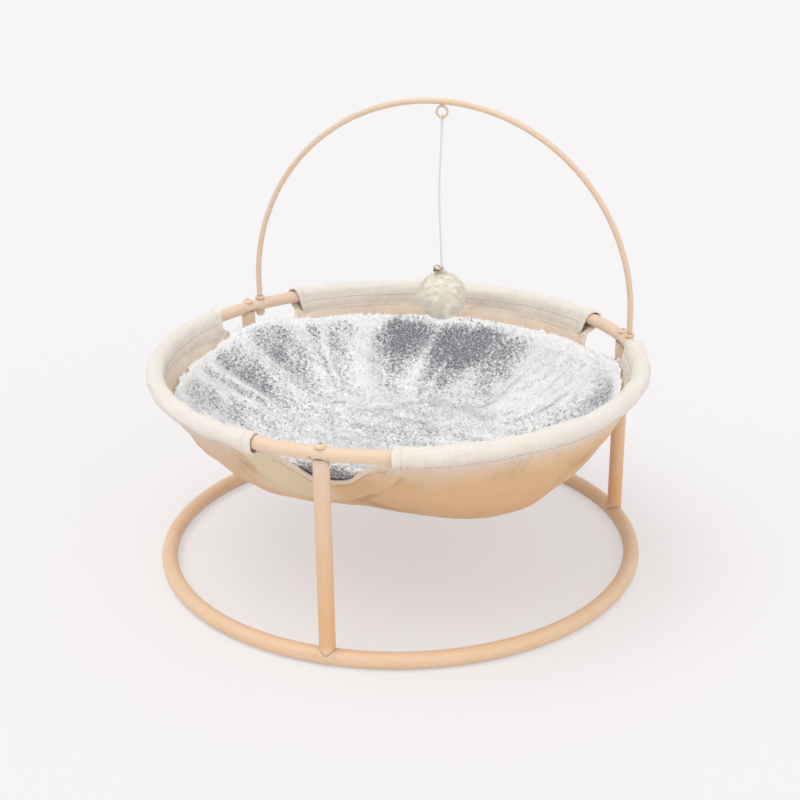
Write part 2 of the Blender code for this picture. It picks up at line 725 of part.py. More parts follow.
def bowl_spot(bearing, run):
    """Return a point of the bowl's cloth: run goes from 0 at its middle to 1 at its seam.

    The cloth hangs in a full curve under the sleeves. At each leg, where no tube holds its
    edge, it is drawn in and rises more gently. It sags a little more towards +X.
    """
    slack = leg_share(bearing)
    radius = BOWL_RADIUS * run - LEG_PINCH * slack * run ** 3
    fullness = SLEEVE_FULLNESS + (LEG_FULLNESS - SLEEVE_FULLNESS) * slack
    depth = BOWL_DEPTH + BOWL_SAG * run * math.cos(math.radians(bearing))
    return polar(radius, bearing, BOWL_EDGE_HEIGHT - depth * (1.0 - run ** fullness))


def straight_up(turn, run):
    """Return the bearing of a column that runs straight up the bowl's wall."""
    return turn


def sheet_mesh(name, outer_runs, lift, steps=RING_STEPS, column=straight_up):
    """Return a sheet on the bowl's form, lifted off it along its normals.

    A grid is wrapped round the middle: its columns are bearings and its rows are runs. The
    outer rows are worked out for each bearing by outer_runs, and column gives the bearing of
    a grid column at each run.
    """
    rows = SHEET_RINGS + len(outer_runs)
    form = bmesh.new()
    bmesh.ops.create_grid(form, x_segments=steps, y_segments=rows, size=0.5)
    for corner in form.verts:
        turn = 360.0 / steps * (round((corner.co.x + 0.5) * steps) % steps)
        row = round((corner.co.y + 0.5) * rows)
        if row > SHEET_RINGS:
            run = outer_runs[row - SHEET_RINGS - 1](turn)
        else:
            run = SHEET_INNER_SHARE * (row / SHEET_RINGS) ** SHEET_CLOSING
        corner.co = bowl_spot(column(turn, run), run)
    bmesh.ops.remove_doubles(form, verts=form.verts, dist=MERGE_DISTANCE)
    bmesh.ops.recalc_face_normals(form, faces=form.faces)
    form.normal_update()
    if min(form.verts, key=lambda corner: corner.co.z).normal.z < 0.0:
        bmesh.ops.reverse_faces(form, faces=form.faces)
        form.normal_update()
    moves = [(corner, corner.normal * lift) for corner in form.verts]
    for corner, move in moves:
        corner.co += move
    mesh = bpy.data.meshes.new(name)
    form.to_mesh(mesh)
    form.free()
    smooth(mesh, 60.0)
    return mesh


def cloth_edge(bearing):
    """Return the run of the bowl's edge, which dips in a scallop at each leg."""
    return 1.0 - SCALLOP_DEPTH / BOWL_RADIUS * gap_share(bearing)


def cloth_shoulder(bearing):
    """Return the run of the last row inside the bowl's edge, under a sleeve at the pad's edge."""
    reach = (cloth_edge(bearing) - SHEET_INNER_SHARE) / (1.0 - SHEET_INNER_SHARE)
    return SHEET_INNER_SHARE + (pad_edge(bearing) - SHEET_INNER_SHARE) * reach


def pad_edge(bearing):
    """Return the run of the pad's edge, the same at every bearing."""
    return 1.0 - PAD_MARGIN / BOWL_RADIUS


def build_bowl():
    """Build the canvas bowl, a sheet with its thickness half on each side."""
    mesh = sheet_mesh("sling_bowl", (cloth_shoulder, cloth_edge), 0.0)
    bowl = add_part("sling_bowl", mesh, CANVAS)
    shell = bowl.modifiers.new("canvas", "SOLIDIFY")
    shell.thickness = CANVAS_THICKNESS
    shell.offset = 0.0
    shell.use_even_offset = True


def pleat_column(turn, run):
    """Return the bearing of a line that follows the pad's pleats up its wall.

    The pleats are unevenly spaced, and on their way up they slant round the bowl, most of all
    on its front left.
    """
    wander = PLEAT_WANDER_WAVES * turn + PLEAT_WANDER_PHASE
    slant = PLEAT_SLANT * math.sin(math.radians(turn + 40.0)) * (1.0 - run) * run ** 2
    return PLEAT_START + turn + PLEAT_WANDER * math.sin(math.radians(wander)) - slant


def pleat_turn(bearing, run):
    """Return which column of the pleats passes through a place: the inverse of the above."""
    turn = bearing - PLEAT_START
    for _ in range(40):
        turn += bearing - pleat_column(turn, run)
    return turn


def ease(low, high, value):
    """Return 0 below low, 1 above high and a smooth rise between them."""
    share = min(max((value - low) / (high - low), 0.0), 1.0)
    return share * share * (3.0 - 2.0 * share)


def pad_loft(bearing, run):
    """Return the pad's thickness: a crown in the middle, pleats up its wall, a thin edge."""
    share = run / pad_edge(bearing)
    crown = PAD_CROWN * (1.0 - share ** 2)
    drawn_in = (PAD_THICKNESS - PAD_EDGE_THICKNESS) * share ** PAD_EDGE_SHARPNESS
    wave = 0.5 - 0.5 * math.cos(math.radians(PLEAT_COUNT * pleat_turn(bearing, run)))
    reach = ease(PLEAT_FOOT, PLEAT_FULL, share)
    reach *= 1.0 - (1.0 - PLEAT_EDGE_SHARE) * ease(0.9, 1.0, share)
    return PAD_THICKNESS + crown - drawn_in - PLEAT_DEPTH * wave * reach


def build_pad():
    """Build the plush pad, lofted off the bowl with its own thickness at each point."""
    lift = CANVAS_THICKNESS / 2 + PAD_CLEARANCE
    steps = PLEAT_COUNT * PLEAT_SIDES
    mesh = sheet_mesh("plush_pad", (pad_edge,), lift, steps, pleat_column)
    pad = add_part("plush_pad", mesh, PLUSH)
    full = PAD_THICKNESS + PAD_CROWN
    loft = pad.vertex_groups.new(name="loft")
    for corner in mesh.vertices:
        radius = math.hypot(corner.co.x, corner.co.y)
        bearing = math.degrees(math.atan2(corner.co.y, corner.co.x))
        run = min(radius / BOWL_RADIUS, pad_edge(bearing))
        loft.add([corner.index], pad_loft(bearing, run) / full, "REPLACE")
    filling = pad.modifiers.new("filling", "SOLIDIFY")
    filling.thickness = full
    filling.offset = 1.0
    filling.vertex_group = "loft"


def build_part():
    """Build every sub-part."""
    clear_scene()
    base_tool = ring_tool("base_clearance", BASE_TUBE_RADIUS, BASE_TUBE_DIAMETER + 2 * FIT_GAP)
    rim_tool = ring_tool("rim_clearance", RIM_HEIGHT, RIM_TUBE_DIAMETER + 2 * FIT_GAP)
    build_base_ring()
    for name in LEG_NAMES:
        build_rim_arc(name)
        build_leg(name, base_tool, rim_tool)
        build_leg_plugs(name)
        build_screws(name)
    for index, name in enumerate(SLEEVE_ENDS):
        build_sleeve(name, index, rim_tool)
    build_bowl()
    build_pad()
    build_toy()


build_part()
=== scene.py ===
"""Round pet lounger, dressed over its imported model.

A painted tube frame carries a sewn canvas cover, a loose plush pad and a toy under an arch.
Lengths are in metres and bearings in degrees, counted round the ring from +X towards +Y.
"""

import logging
import math
from dataclasses import dataclass, field
from enum import Enum
from typing import Callable, ClassVar

import bmesh
import bpy
import numpy as np
from mathutils import Matrix


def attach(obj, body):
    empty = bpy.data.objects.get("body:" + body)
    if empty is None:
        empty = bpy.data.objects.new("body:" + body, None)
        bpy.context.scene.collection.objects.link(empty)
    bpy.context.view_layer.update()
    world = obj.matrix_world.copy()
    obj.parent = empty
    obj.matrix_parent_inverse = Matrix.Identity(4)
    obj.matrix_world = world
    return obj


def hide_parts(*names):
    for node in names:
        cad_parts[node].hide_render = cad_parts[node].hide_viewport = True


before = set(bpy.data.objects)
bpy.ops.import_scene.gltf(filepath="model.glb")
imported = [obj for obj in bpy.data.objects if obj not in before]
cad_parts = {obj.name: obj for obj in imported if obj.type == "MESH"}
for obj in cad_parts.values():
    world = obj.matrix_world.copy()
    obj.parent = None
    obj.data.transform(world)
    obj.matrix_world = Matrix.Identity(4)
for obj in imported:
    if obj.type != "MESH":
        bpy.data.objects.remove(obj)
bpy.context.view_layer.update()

Array = np.ndarray
Socket = bpy.types.NodeSocket
Colour = tuple[float, float, float, float]
TAU = 2.0 * math.pi
ACROSS, BACK, UP = np.eye(3)
log = logging.getLogger("lounger")


class Detail(Enum):
    FULL = 1.0
    QUICK = 0.4


DETAIL = Detail.FULL


# Shapes worked out as whole arrays


def unit(vectors: Array) -> Array:
    """Return vectors scaled to a length of one."""
    return vectors / np.maximum(np.linalg.norm(vectors, axis=-1, keepdims=True), 1e-12)


def dots(first: Array, second: Array) -> Array:
    """Return the dot product of each vector with its partner."""
    return np.einsum("...i,...i->...", first, second)


def polar(radius: Array, bearing: Array, height: Array) -> Array:
    """Return points on circles round the ring's axis."""
    angle = np.radians(bearing)
    parts = np.broadcast_arrays(radius * np.cos(angle), radius * np.sin(angle), height)
    return np.stack(parts, -1)


def circle(turn: Array, side: Array, other: Array) -> Array:
    """Return places on the unit circle in the plane of two directions, one for each angle."""
    return np.cos(turn)[:, None] * side + np.sin(turn)[:, None] * other


def standing(bearing: float) -> Array:
    """Return three unit directions: out along a bearing, across it and up."""
    out = polar(1.0, bearing, 0.0)
    return np.array([out, np.cross(UP, out), UP])


def off_bearing(bearing: Array, middle: float) -> Array:
    """Return how far bearings lie from a middle one, the shorter way round."""
    return np.abs((bearing - middle + 180.0) % 360.0 - 180.0)


def lengths(path: Array) -> Array:
    """Return the length along a path up to each of its points."""
    return np.r_[0.0, np.linalg.norm(np.diff(path, axis=0), axis=1).cumsum()]


def heading(path: Array) -> Array:
    """Return the unit direction of a path at each of its points."""
    return unit(np.gradient(path, axis=0))


def read_along(places: Array, along: Array, rows: Array) -> Array:
    """Return rows read at places between the lengths at which they are given."""
    return np.stack([np.interp(places, along, column) for column in rows.T], -1)


def smooth_step(low: float, high: float, value: Array) -> Array:
    """Return 0 below low, 1 above high and a smooth rise between them."""
    share = np.clip((value - low) / (high - low), 0.0, 1.0)
    return share * share * (3.0 - 2.0 * share)


def hump(off: Array, width: float = 1.0) -> Array:
    """Return a bell curve, which is 1 at nought and falls off over the width."""
    return np.exp(-(off / width) ** 2)


def rounded(share: Array) -> Array:
    """Return the height of a quarter circle, which rises from 0 at share 0 to 1 at share 1."""
    return np.sqrt(1.0 - (1.0 - np.clip(share, 0.0, 1.0)) ** 2)


def hexagon(angle: Array) -> Array:
    """Return a hexagon's reach over its reach at a flat: 1 over the cosine from the flat."""
    return 1.0 / np.cos((angle + math.pi / 6) % (math.pi / 3) - math.pi / 6)


def ripple(u: Array, v: Array, pitch: float, seed: int, waves: int = 9) -> Array:
    """Return gentle unevenness over a surface.

    It is the sum of sine waves, each with a direction, phase and pitch drawn from a seeded
    generator, scaled to a spread of about one.

    Args:
        u: First coordinate on the surface.
        v: Second coordinate on the surface.
        pitch: Mean wavelength.
        seed: Seed of the generator.
        waves: Number of sine waves.

    Returns:
        Height at each place.
    """
    rng = np.random.default_rng(seed)
    turns, phases = rng.uniform(0.0, TAU, (2, waves))
    pitches = pitch * rng.uniform(0.65, 1.5, waves)
    total = np.zeros(np.broadcast(u, v).shape)
    for turn, phase, wave in zip(turns, phases, pitches):
        total += np.sin((u * math.cos(turn) + v * math.sin(turn)) * TAU / wave + phase)
    return total / math.sqrt(waves / 2)


def eased(profile: list[tuple[float, float]], cut: float) -> Array:
    """Return a profile whose inner corners are rounded.

    Each corner gives way to three points: one before it, one just inside it and one after it.

    Args:
        profile: Corners as (radius, height).
        cut: Distance from the corner to the first and last new point.

    Returns:
        Points of the rounded profile, one row each.
    """
    spots = np.array(profile, float)
    steps = np.diff(spots, axis=0)
    sizes = np.linalg.norm(steps, axis=1, keepdims=True)
    ways = steps / np.maximum(sizes, 1e-12)
    cuts = np.minimum(cut, 0.45 * np.minimum(sizes[:-1], sizes[1:]))
    before, after = -ways[:-1] * cuts, ways[1:] * cuts
    corner = spots[1:-1]
    rounds = np.stack([corner + before, corner + 0.29 * (before + after), corner + after], 1)
    return np.concatenate([spots[:1], rounds.reshape(-1, 2), spots[-1:]])


@dataclass
class Surface:
    """A grid of points with its cloth chart and its painted masks.

    Attributes:
        points: Rows by columns of places.
        chart: Rows by columns of flat coordinates in metres.
        masks: Rows by columns of values from 0 to 1, by name. A mask that isn't there is 0.
    """

    points: Array
    chart: Array
    masks: dict[str, Array] = field(default_factory=dict)

    def volume(self) -> float:
        """Return the closed grid's volume, negative where its faces point inwards."""
        a, b = self.points[:-1, :-1], self.points[:-1, 1:]
        c, d = self.points[1:, 1:], self.points[1:, :-1]
        return float(dots(a, np.cross(b, c)).sum() + dots(a, np.cross(c, d)).sum()) / 6.0

    def flipped(self) -> "Surface":
        """Return the grid with its rows run back, which turns its faces over."""
        masks = {name: mask[::-1] for name, mask in self.masks.items()}
        return Surface(self.points[::-1], self.chart[::-1], masks)

    def facing(self, outward: bool = True) -> "Surface":
        """Return the grid with its faces turned outward, or inward for the lining of a wall."""
        return self if (self.volume() > 0.0) == outward else self.flipped()


def turned_out(*faces: Surface) -> list[Surface]:
    """Return faces that close a form between them, all turned over if they point inwards."""
    inwards = sum(face.volume() for face in faces) < 0.0
    return [face.flipped() if inwards else face for face in faces]


def closed_loop(outer: Surface, inner: Surface) -> Surface:
    """Join a tube wall's outer face and its inner one, whose rows run back, end to end."""
    def joined(part: Callable[[Surface], Array]) -> Array:
        """Return the rows of both faces and then the first row again."""
        return np.concatenate([part(outer), part(inner), part(outer)[:1]])

    masks = {name: joined(lambda face: face.masks[name]) for name in outer.masks}
    loop = Surface(joined(lambda face: face.points), joined(lambda face: face.chart), masks)
    return loop.facing()


def fill_mesh(name: str, places: Array, faces: Array, chart: Array, masks: dict[str, Array],
              chart_name: str = "chart") -> bpy.types.Mesh:
    """Put arrays into a new mesh.

    Args:
        name: Name of the mesh.
        places: One row for each vertex.
        faces: One row for each face, of three or four corners.
        chart: One row of flat coordinates for each vertex.
        masks: A value for each vertex, by name.
        chart_name: Name of the flat coordinates.

    Returns:
        The filled mesh.
    """
    mesh = bpy.data.meshes.new(name)
    mesh.vertices.add(len(places))
    mesh.vertices.foreach_set("co", places.astype(np.float32).ravel())
    mesh.loops.add(faces.size)
    mesh.loops.foreach_set("vertex_index", faces.astype(np.int32).ravel())
    mesh.polygons.add(len(faces))
    mesh.polygons.foreach_set(
        "loop_start", np.arange(len(faces), dtype=np.int32) * faces.shape[1])
    mesh.update(calc_edges=True)
    layer = mesh.uv_layers.new(name=chart_name)
    layer.uv.foreach_set("vector", chart[faces.ravel()].astype(np.float32).ravel())
    for mask_name, mask in masks.items():
        paint_mask(mesh, mask_name, mask)
    mesh.polygons.foreach_set("use_smooth", np.ones(len(faces), bool))
    return mesh


def paint_mask(mesh: bpy.types.Mesh, name: str, mask: Array) -> None:
    """Give each vertex of a mesh its value of a mask."""
    values = mesh.attributes.new(name, "FLOAT", "POINT")
    values.data.foreach_set("value", mask.astype(np.float32).ravel())


def read_points(mesh: bpy.types.Mesh) -> tuple[Array, Array]:
    """Return a mesh's vertices and their unit normals.

    Args:
        mesh: The mesh that is read.

    Returns:
        The vertices and their normals.
    """
    places = np.zeros(len(mesh.vertices) * 3, np.float32)
    normals = np.zeros_like(places)
    mesh.vertices.foreach_get("co", places)
    mesh.vertex_normals.foreach_get("vector", normals)
    return places.reshape(-1, 3).astype(float), normals.reshape(-1, 3).astype(float)


def new_object(name: str, data: bpy.types.ID) -> bpy.types.Object:
    """Put data into the scene as an object at the origin."""
    made = bpy.data.objects.new(name, data)
    bpy.context.scene.collection.objects.link(made)
    return made


def as_shaped(piece: bpy.types.Object) -> bpy.types.Mesh:
    """Return a new mesh of a piece as its modifiers shape it."""
    graph = bpy.context.evaluated_depsgraph_get()
    return bpy.data.meshes.new_from_object(piece.evaluated_get(graph), depsgraph=graph)


def weave_grids(name: str, surfaces: list[Surface], sharp: float = 50.0) -> bpy.types.Mesh:
    """Join grids into one mesh, with their seams and poles closed.

    Args:
        name: Name of the mesh.
        surfaces: The grids, already facing the right way.
        sharp: Angle in degrees past which an edge stays crisp.

    Returns:
        The welded mesh.
    """
    faces, first = [], 0
    for surface in surfaces:
        rows, columns = surface.points.shape[:2]
        corner = first + np.arange(rows * columns).reshape(rows, columns)
        first += rows * columns
        quads = (corner[:-1, :-1], corner[:-1, 1:], corner[1:, 1:], corner[1:, :-1])
        faces.append(np.stack(quads, -1).reshape(-1, 4))
    places = np.concatenate([surface.points.reshape(-1, 3) for surface in surfaces])
    chart = np.concatenate([surface.chart.reshape(-1, 2) for surface in surfaces])
    masks = {}
    for mask in sorted({mask for surface in surfaces for mask in surface.masks}):
        masks[mask] = np.concatenate([
            surface.masks.get(mask, np.zeros(surface.points.shape[:2])).ravel()
            for surface in surfaces])
    mesh = fill_mesh(name, places, np.concatenate(faces), chart, masks)
    form = bmesh.new()
    form.from_mesh(mesh)
    bmesh.ops.remove_doubles(form, verts=form.verts, dist=1e-7)
    form.to_mesh(mesh)
    form.free()
    mesh.set_sharp_from_angle(angle=math.radians(sharp))
    return mesh


def tube(path: Array, side: Array, other: Array, radius: Array, sides: int,
         masks: dict[str, Array] | None = None) -> Surface:
    """Carry a circle along a path.

    Each row is a circle of its own radius, round the path's point, in the plane of two unit
    directions. A radius of nought closes an end.

    Args:
        path: The points that the circle is carried along.
        side: First unit direction of each circle.
        other: Second unit direction of each circle.
        radius: Radius at each point.
        sides: Number of columns.
        masks: A value for each point of the path, by name.

    Returns:
        The tube, charted by length along it and round it.
    """
    turn = np.linspace(0.0, TAU, sides + 1)
    radius = np.broadcast_to(radius, len(path))
    side, other = (np.broadcast_to(way, path.shape)[:, None] for way in (side, other))
    points = path[:, None] + radius[:, None, None] * circle(turn, side, other)
    chart = np.stack(np.broadcast_arrays(lengths(path)[:, None], turn * radius.max()), -1)
    spread = {name: np.repeat(mask[:, None], sides + 1, 1) for name, mask in (masks or {}).items()}
    return Surface(points, chart, spread)


def turned(profile: Array, steps: int, centre: Array, axes: Array,
           shape: Callable[[Array, Array], Array] | None = None) -> Surface:
    """Carry a profile round an axis.

    A point is the centre plus its radius times the spoke at each angle plus its height along
    the axis. shape may change the radius with the angle, as for a hexagon.

    Args:
        profile: Rows of (radius, height).
        steps: Number of angles.
        centre: Where height nought lies.
        axes: Three unit directions, the last of them the axis.
        shape: Gives a factor for each row and angle.

    Returns:
        The turned surface.
    """
    turn = np.linspace(0.0, TAU, steps + 1)
    radius, height = np.repeat(profile[:, 0, None], steps + 1, 1), profile[:, 1]
    if shape is not None:
        radius = radius * shape(np.arange(len(profile))[:, None], turn[None])
    spoke = circle(turn, axes[0], axes[1])
    points = centre + radius[..., None] * spoke + height[:, None, None] * axes[2]
    chart = np.stack(np.broadcast_arrays(turn * 0.005, lengths(profile)[:, None]), -1)
    return Surface(points, chart)


def grid_normals(points: Array) -> Array:
    """Return a unit normal at each point of a grid: the cross product of its two slopes.

    Args:
        points: Rows by columns of places.

    Returns:
        The normals.
    """
    rows = np.gradient(points, axis=0)
    columns = np.gradient(points, axis=1)
    if np.allclose(points[:, 0], points[:, -1], atol=1e-9):
        columns[:, 0] = columns[:, -1] = (points[:, 1] - points[:, -2]) / 2
    made = unit(np.cross(rows, columns))
    if np.ptp(points[0], axis=0).max() < 1e-9:
        made[0] = unit(made[1].mean(0))
    return made


def cloth_wall(middle: Array, chart: Array, thickness: Array,
               masks: dict[str, Array]) -> list[Surface]:
    """Give a cloth its thickness.

    One face lies half the thickness to each side of the middle, along its normals. The
    thickness is nought along the free edges, where the two faces meet.

    Args:
        middle: The cloth's middle surface.
        chart: Its flat coordinates.
        thickness: Thickness at each point.
        masks: Painted masks of both faces.

    Returns:
        The two faces, turned outwards together.
    """
    half = grid_normals(middle) * thickness[..., None] / 2
    return turned_out(Surface(middle + half, chart, masks),
                      Surface(middle - half, chart, masks).flipped())


# Wiring of finishes


class Tree:
    """Short words for wiring the nodes of a material or of a shared effect."""

    def __init__(self, tree: bpy.types.NodeTree) -> None:
        """Keep the node tree that is wired."""
        self.tree = tree

    def feed(self, socket: Socket, value: object) -> None:
        """Link a socket to another one, or set its value."""
        if isinstance(value, bpy.types.NodeSocket):
            self.tree.links.new(value, socket)
        else:
            socket.default_value = value

    def node(self, kind: str, *values: object, **settings: object) -> bpy.types.Node:
        """Add a node with its settings and fill its inputs in order."""
        made = self.tree.nodes.new(f"ShaderNode{kind}")
        for name, value in settings.items():
            setattr(made, name, value)
        for socket, value in zip(made.inputs, values):
            self.feed(socket, value)
        return made

    def maths(self, operation: str, *values: object) -> Socket:
        """Return a sum, product or other operation on values."""
        return self.node("Math", *values, operation=operation).outputs[0]

    def stretch(self, vector: Socket, x: float, y: float, z: float = 1.0) -> Socket:
        """Return coordinates with each axis scaled."""
        return self.node("VectorMath", vector, (x, y, z), operation="MULTIPLY").outputs[0]

    def noise(self, vector: Socket, scale: object, detail: float = 2.0) -> Socket:
        """Return cloudy noise from 0 to 1."""
        made = self.node("TexNoise", vector)
        self.feed(made.inputs["Scale"], scale)
        self.feed(made.inputs["Detail"], detail)
        return made.outputs[0]

    def between(self, value: Socket, low: float, high: float, first: float = 0.0,
                last: float = 1.0) -> Socket:
        """Return a value carried from one range to another and held inside it."""
        return self.node("MapRange", value, low, high, first, last).outputs[0]

    def blend(self, share: Socket, one: object, other: object) -> Socket:
        """Return a colour between two, by a share from 0 to 1."""
        made = self.node("Mix", share, data_type="RGBA", clamp_factor=True)
        self.feed(made.inputs[6], one)
        self.feed(made.inputs[7], other)
        return made.outputs[2]

    def mask(self, name: str) -> Socket:
        """Return a painted mask of the piece."""
        return self.node("Attribute", attribute_name=name).outputs["Fac"]

    def chart(self) -> Socket:
        """Return the piece's flat coordinates in metres."""
        return self.node("UVMap", uv_map="chart").outputs[0]

    def place(self) -> Socket:
        """Return the place on the piece in metres."""
        return self.node("TexCoord").outputs["Object"]

    def bump(self, height: Socket, distance: float, strength: float) -> Socket:
        """Return a normal raised by a height."""
        made = self.node("Bump")
        for name, value in (("Strength", strength), ("Distance", distance), ("Height", height)):
            self.feed(made.inputs[name], value)
        return made.outputs[0]


@dataclass
class SharedEffect:
    """An effect that several finishes use, built once as a node group.

    Attributes:
        name: Name of the group.
        inputs: Kind of each input, Vector or Float, by name.
        outputs: Names of its outputs, all of them values.
        wire: Wires the inside of the group from its inputs to its outputs.
    """

    name: str
    inputs: dict[str, str]
    outputs: tuple[str, ...]
    wire: Callable[[Tree, dict[str, Socket]], dict[str, Socket]]

    def group(self) -> bpy.types.NodeTree:
        """Return the group, built when it is first asked for."""
        if self.name in bpy.data.node_groups:
            return bpy.data.node_groups[self.name]
        made = bpy.data.node_groups.new(self.name, "ShaderNodeTree")
        sockets = [("INPUT", name, kind) for name, kind in self.inputs.items()]
        for way, name, kind in sockets + [("OUTPUT", name, "Float") for name in self.outputs]:
            made.interface.new_socket(name, in_out=way, socket_type=f"NodeSocket{kind}")
        entry, leave = made.nodes.new("NodeGroupInput"), made.nodes.new("NodeGroupOutput")
        tree, given = Tree(made), {name: entry.outputs[name] for name in self.inputs}
        for name, value in self.wire(tree, given).items():
            tree.feed(leave.inputs[name], value)
        return made

    def use(self, tree: Tree, **values: object) -> dict[str, Socket]:
        """Place the group in a material with its own values and return its outputs."""
        made = tree.node("Group", node_tree=self.group())
        for name, value in values.items():
            tree.feed(made.inputs[name], value)
        return {name: made.outputs[name] for name in self.outputs}


def wire_weave(tree: Tree, given: dict[str, Socket]) -> dict[str, Socket]:
    """Wire a plain weave.

    Threads run both ways, a pitch apart. Each thread is a half wave, and the product of the
    two waves' signs says which of them lies on top. Slubs are noise drawn out along a thread.

    Args:
        tree: The group's node tree.
        given: Its inputs by name.

    Returns:
        The threads' height and tone.
    """
    parts = tree.node("SeparateXYZ", given["Chart"])
    turns = [tree.maths("DIVIDE", parts.outputs[axis], given["Pitch"]) for axis in (0, 1)]
    waves = [tree.maths("SINE", tree.maths("MULTIPLY", turn, math.pi)) for turn in turns]
    over = tree.between(tree.maths("MULTIPLY", *waves), -0.5, 0.5)
    under = tree.maths("SUBTRACT", 1.0, over)
    warp, weft = (tree.maths("MULTIPLY", tree.maths("ABSOLUTE", wave), top)
                  for wave, top in zip(waves, (over, under)))
    counted = tree.node("CombineXYZ", *turns).outputs[0]
    slubs = [tree.noise(tree.stretch(counted, *way), 1.0, 3.0)
             for way in ((0.05, 0.55), (0.55, 0.05))]
    tone = tree.maths("MULTIPLY", tree.maths("ADD", *slubs), 0.5)
    uneven = tree.maths("MULTIPLY", tree.maths("SUBTRACT", tone, 0.5), given["Slub"])
    height = tree.maths("ADD", tree.maths("MAXIMUM", warp, weft), uneven)
    return {"Height": height, "Tone": tree.maths("ADD", 0.5, uneven)}


def wire_mottle(tree: Tree, given: dict[str, Socket]) -> dict[str, Socket]:
    """Wire soft patches and fine grain: cloudy noise at the given size and at a tenth of it.

    Args:
        tree: The group's node tree.
        given: Its inputs by name.

    Returns:
        The patches and the grain.
    """
    scale = tree.maths("DIVIDE", 1.0, given["Size"])
    patch = tree.noise(given["Place"], scale, 3.0)
    grain = tree.noise(given["Place"], tree.maths("MULTIPLY", scale, 10.0), 3.0)
    return {"Patch": tree.between(patch, 0.3, 0.7), "Grain": grain}


WEAVE = SharedEffect("plain_weave", {"Chart": "Vector", "Pitch": "Float", "Slub": "Float"},
                     ("Height", "Tone"), wire_weave)
MOTTLE = SharedEffect("soft_mottle", {"Place": "Vector", "Size": "Float"},
                      ("Patch", "Grain"), wire_mottle)


def srgb(red: int, green: int, blue: int) -> Colour:
    """Return the linear colour of a screen colour from 0 to 255."""
    parts = np.array([red, green, blue]) / 255.0
    linear = np.where(parts <= 0.04045, parts / 12.92, ((parts + 0.055) / 1.055) ** 2.4)
    return (*(float(part) for part in linear), 1.0)


@dataclass(frozen=True)
class Look:
    """A finish as a piece wears it.

    Attributes:
        material: The built finish.
        slot: The record's material slot that it stands for.
    """

    material: bpy.types.Material
    slot: str


@dataclass(frozen=True)
class Finish:
    """A procedural finish. Each kind of it gives its plain values and wires the others.

    Attributes:
        name: Name of the material.
        plain: Values of the shader that are the same all over.
    """

    name: str
    plain: ClassVar[dict[str, float]] = {}

    def wire(self, tree: Tree) -> dict[str, Socket]:
        """Wire what changes over the surface and return it by the shader's input."""
        raise NotImplementedError

    def look(self, slot: str) -> Look:
        """Build the finish for a slot of the record.

        Args:
            slot: The slot that it stands for.

        Returns:
            The finish as a piece wears it.
        """
        made = bpy.data.materials.new(self.name)
        made.use_nodes = True
        shader = made.node_tree.nodes["Principled BSDF"]
        tree = Tree(made.node_tree)
        for name, value in {**self.plain, **self.wire(tree)}.items():
            tree.feed(shader.inputs[name], value)
        return Look(made, slot)


@dataclass(frozen=True)
class PowderCoat(Finish):
    """Satin powder coat in a warm peach tone, with faint long streaks like wood grain.

    It is deeper on the legs, most of all low on them, as painted shade, and darker beside the
    joints, as painted shade in the seams and the screw sockets.
    """

    colour: Colour = srgb(232, 210, 187)
    deep: Colour = srgb(232, 184, 136)
    # Colour of the painted shade in the seams between parts and in the screw sockets.
    joint_shade: Colour = srgb(120, 72, 40)
    plain: ClassVar[dict[str, float]] = {"Specular IOR Level": 0.4}

    def wire(self, tree: Tree) -> dict[str, Socket]:
        """Wire the streaks, the painted shade low on the legs and at the joints, and the orange
        peel.

        Args:
            tree: The material's node tree.

        Returns:
            What changes over the surface, by the shader's input.
        """
        streak = tree.noise(tree.stretch(tree.chart(), 22.0, 420.0), 1.0, 3.0)
        patch = MOTTLE.use(tree, Place=tree.place(), Size=0.05)
        share = tree.maths("ADD", tree.maths("MULTIPLY", tree.between(streak, 0.35, 0.75), 0.26),
                           tree.maths("MULTIPLY", patch["Patch"], 0.14))
        # Painted shade: the colour is deepest low on the legs, a little deep on the base ring and
        # palest at the rim, by how light falls from above.
        height = tree.node("SeparateXYZ", tree.place()).outputs[2]
        legs = tree.maths("MULTIPLY", tree.between(height, 0.016, 0.022, 0.30, 0.85),
                          tree.between(height, 0.03, 0.205, 1.0, 0.02))
        colour = tree.blend(tree.maths("ADD", share, legs), self.colour, self.deep)
        # Painted shade in the seams between parts and in the screw sockets, mixed in by the joint
        # mask.
        ragged = tree.between(tree.noise(tree.place(), 900.0), 0.35, 0.6, 0.3)
        joint = tree.maths("MULTIPLY", tree.mask("joint"), ragged)
        peel = tree.maths("ADD", tree.noise(tree.place(), 1100.0, 1.0),
                          tree.maths("MULTIPLY", streak, 0.6))
        return {"Base Color": tree.blend(joint, colour, self.joint_shade),
                "Roughness": tree.between(patch["Grain"], 0.2, 0.8, 0.36, 0.5),
                "Normal": tree.bump(peel, 0.00006, 0.7)}


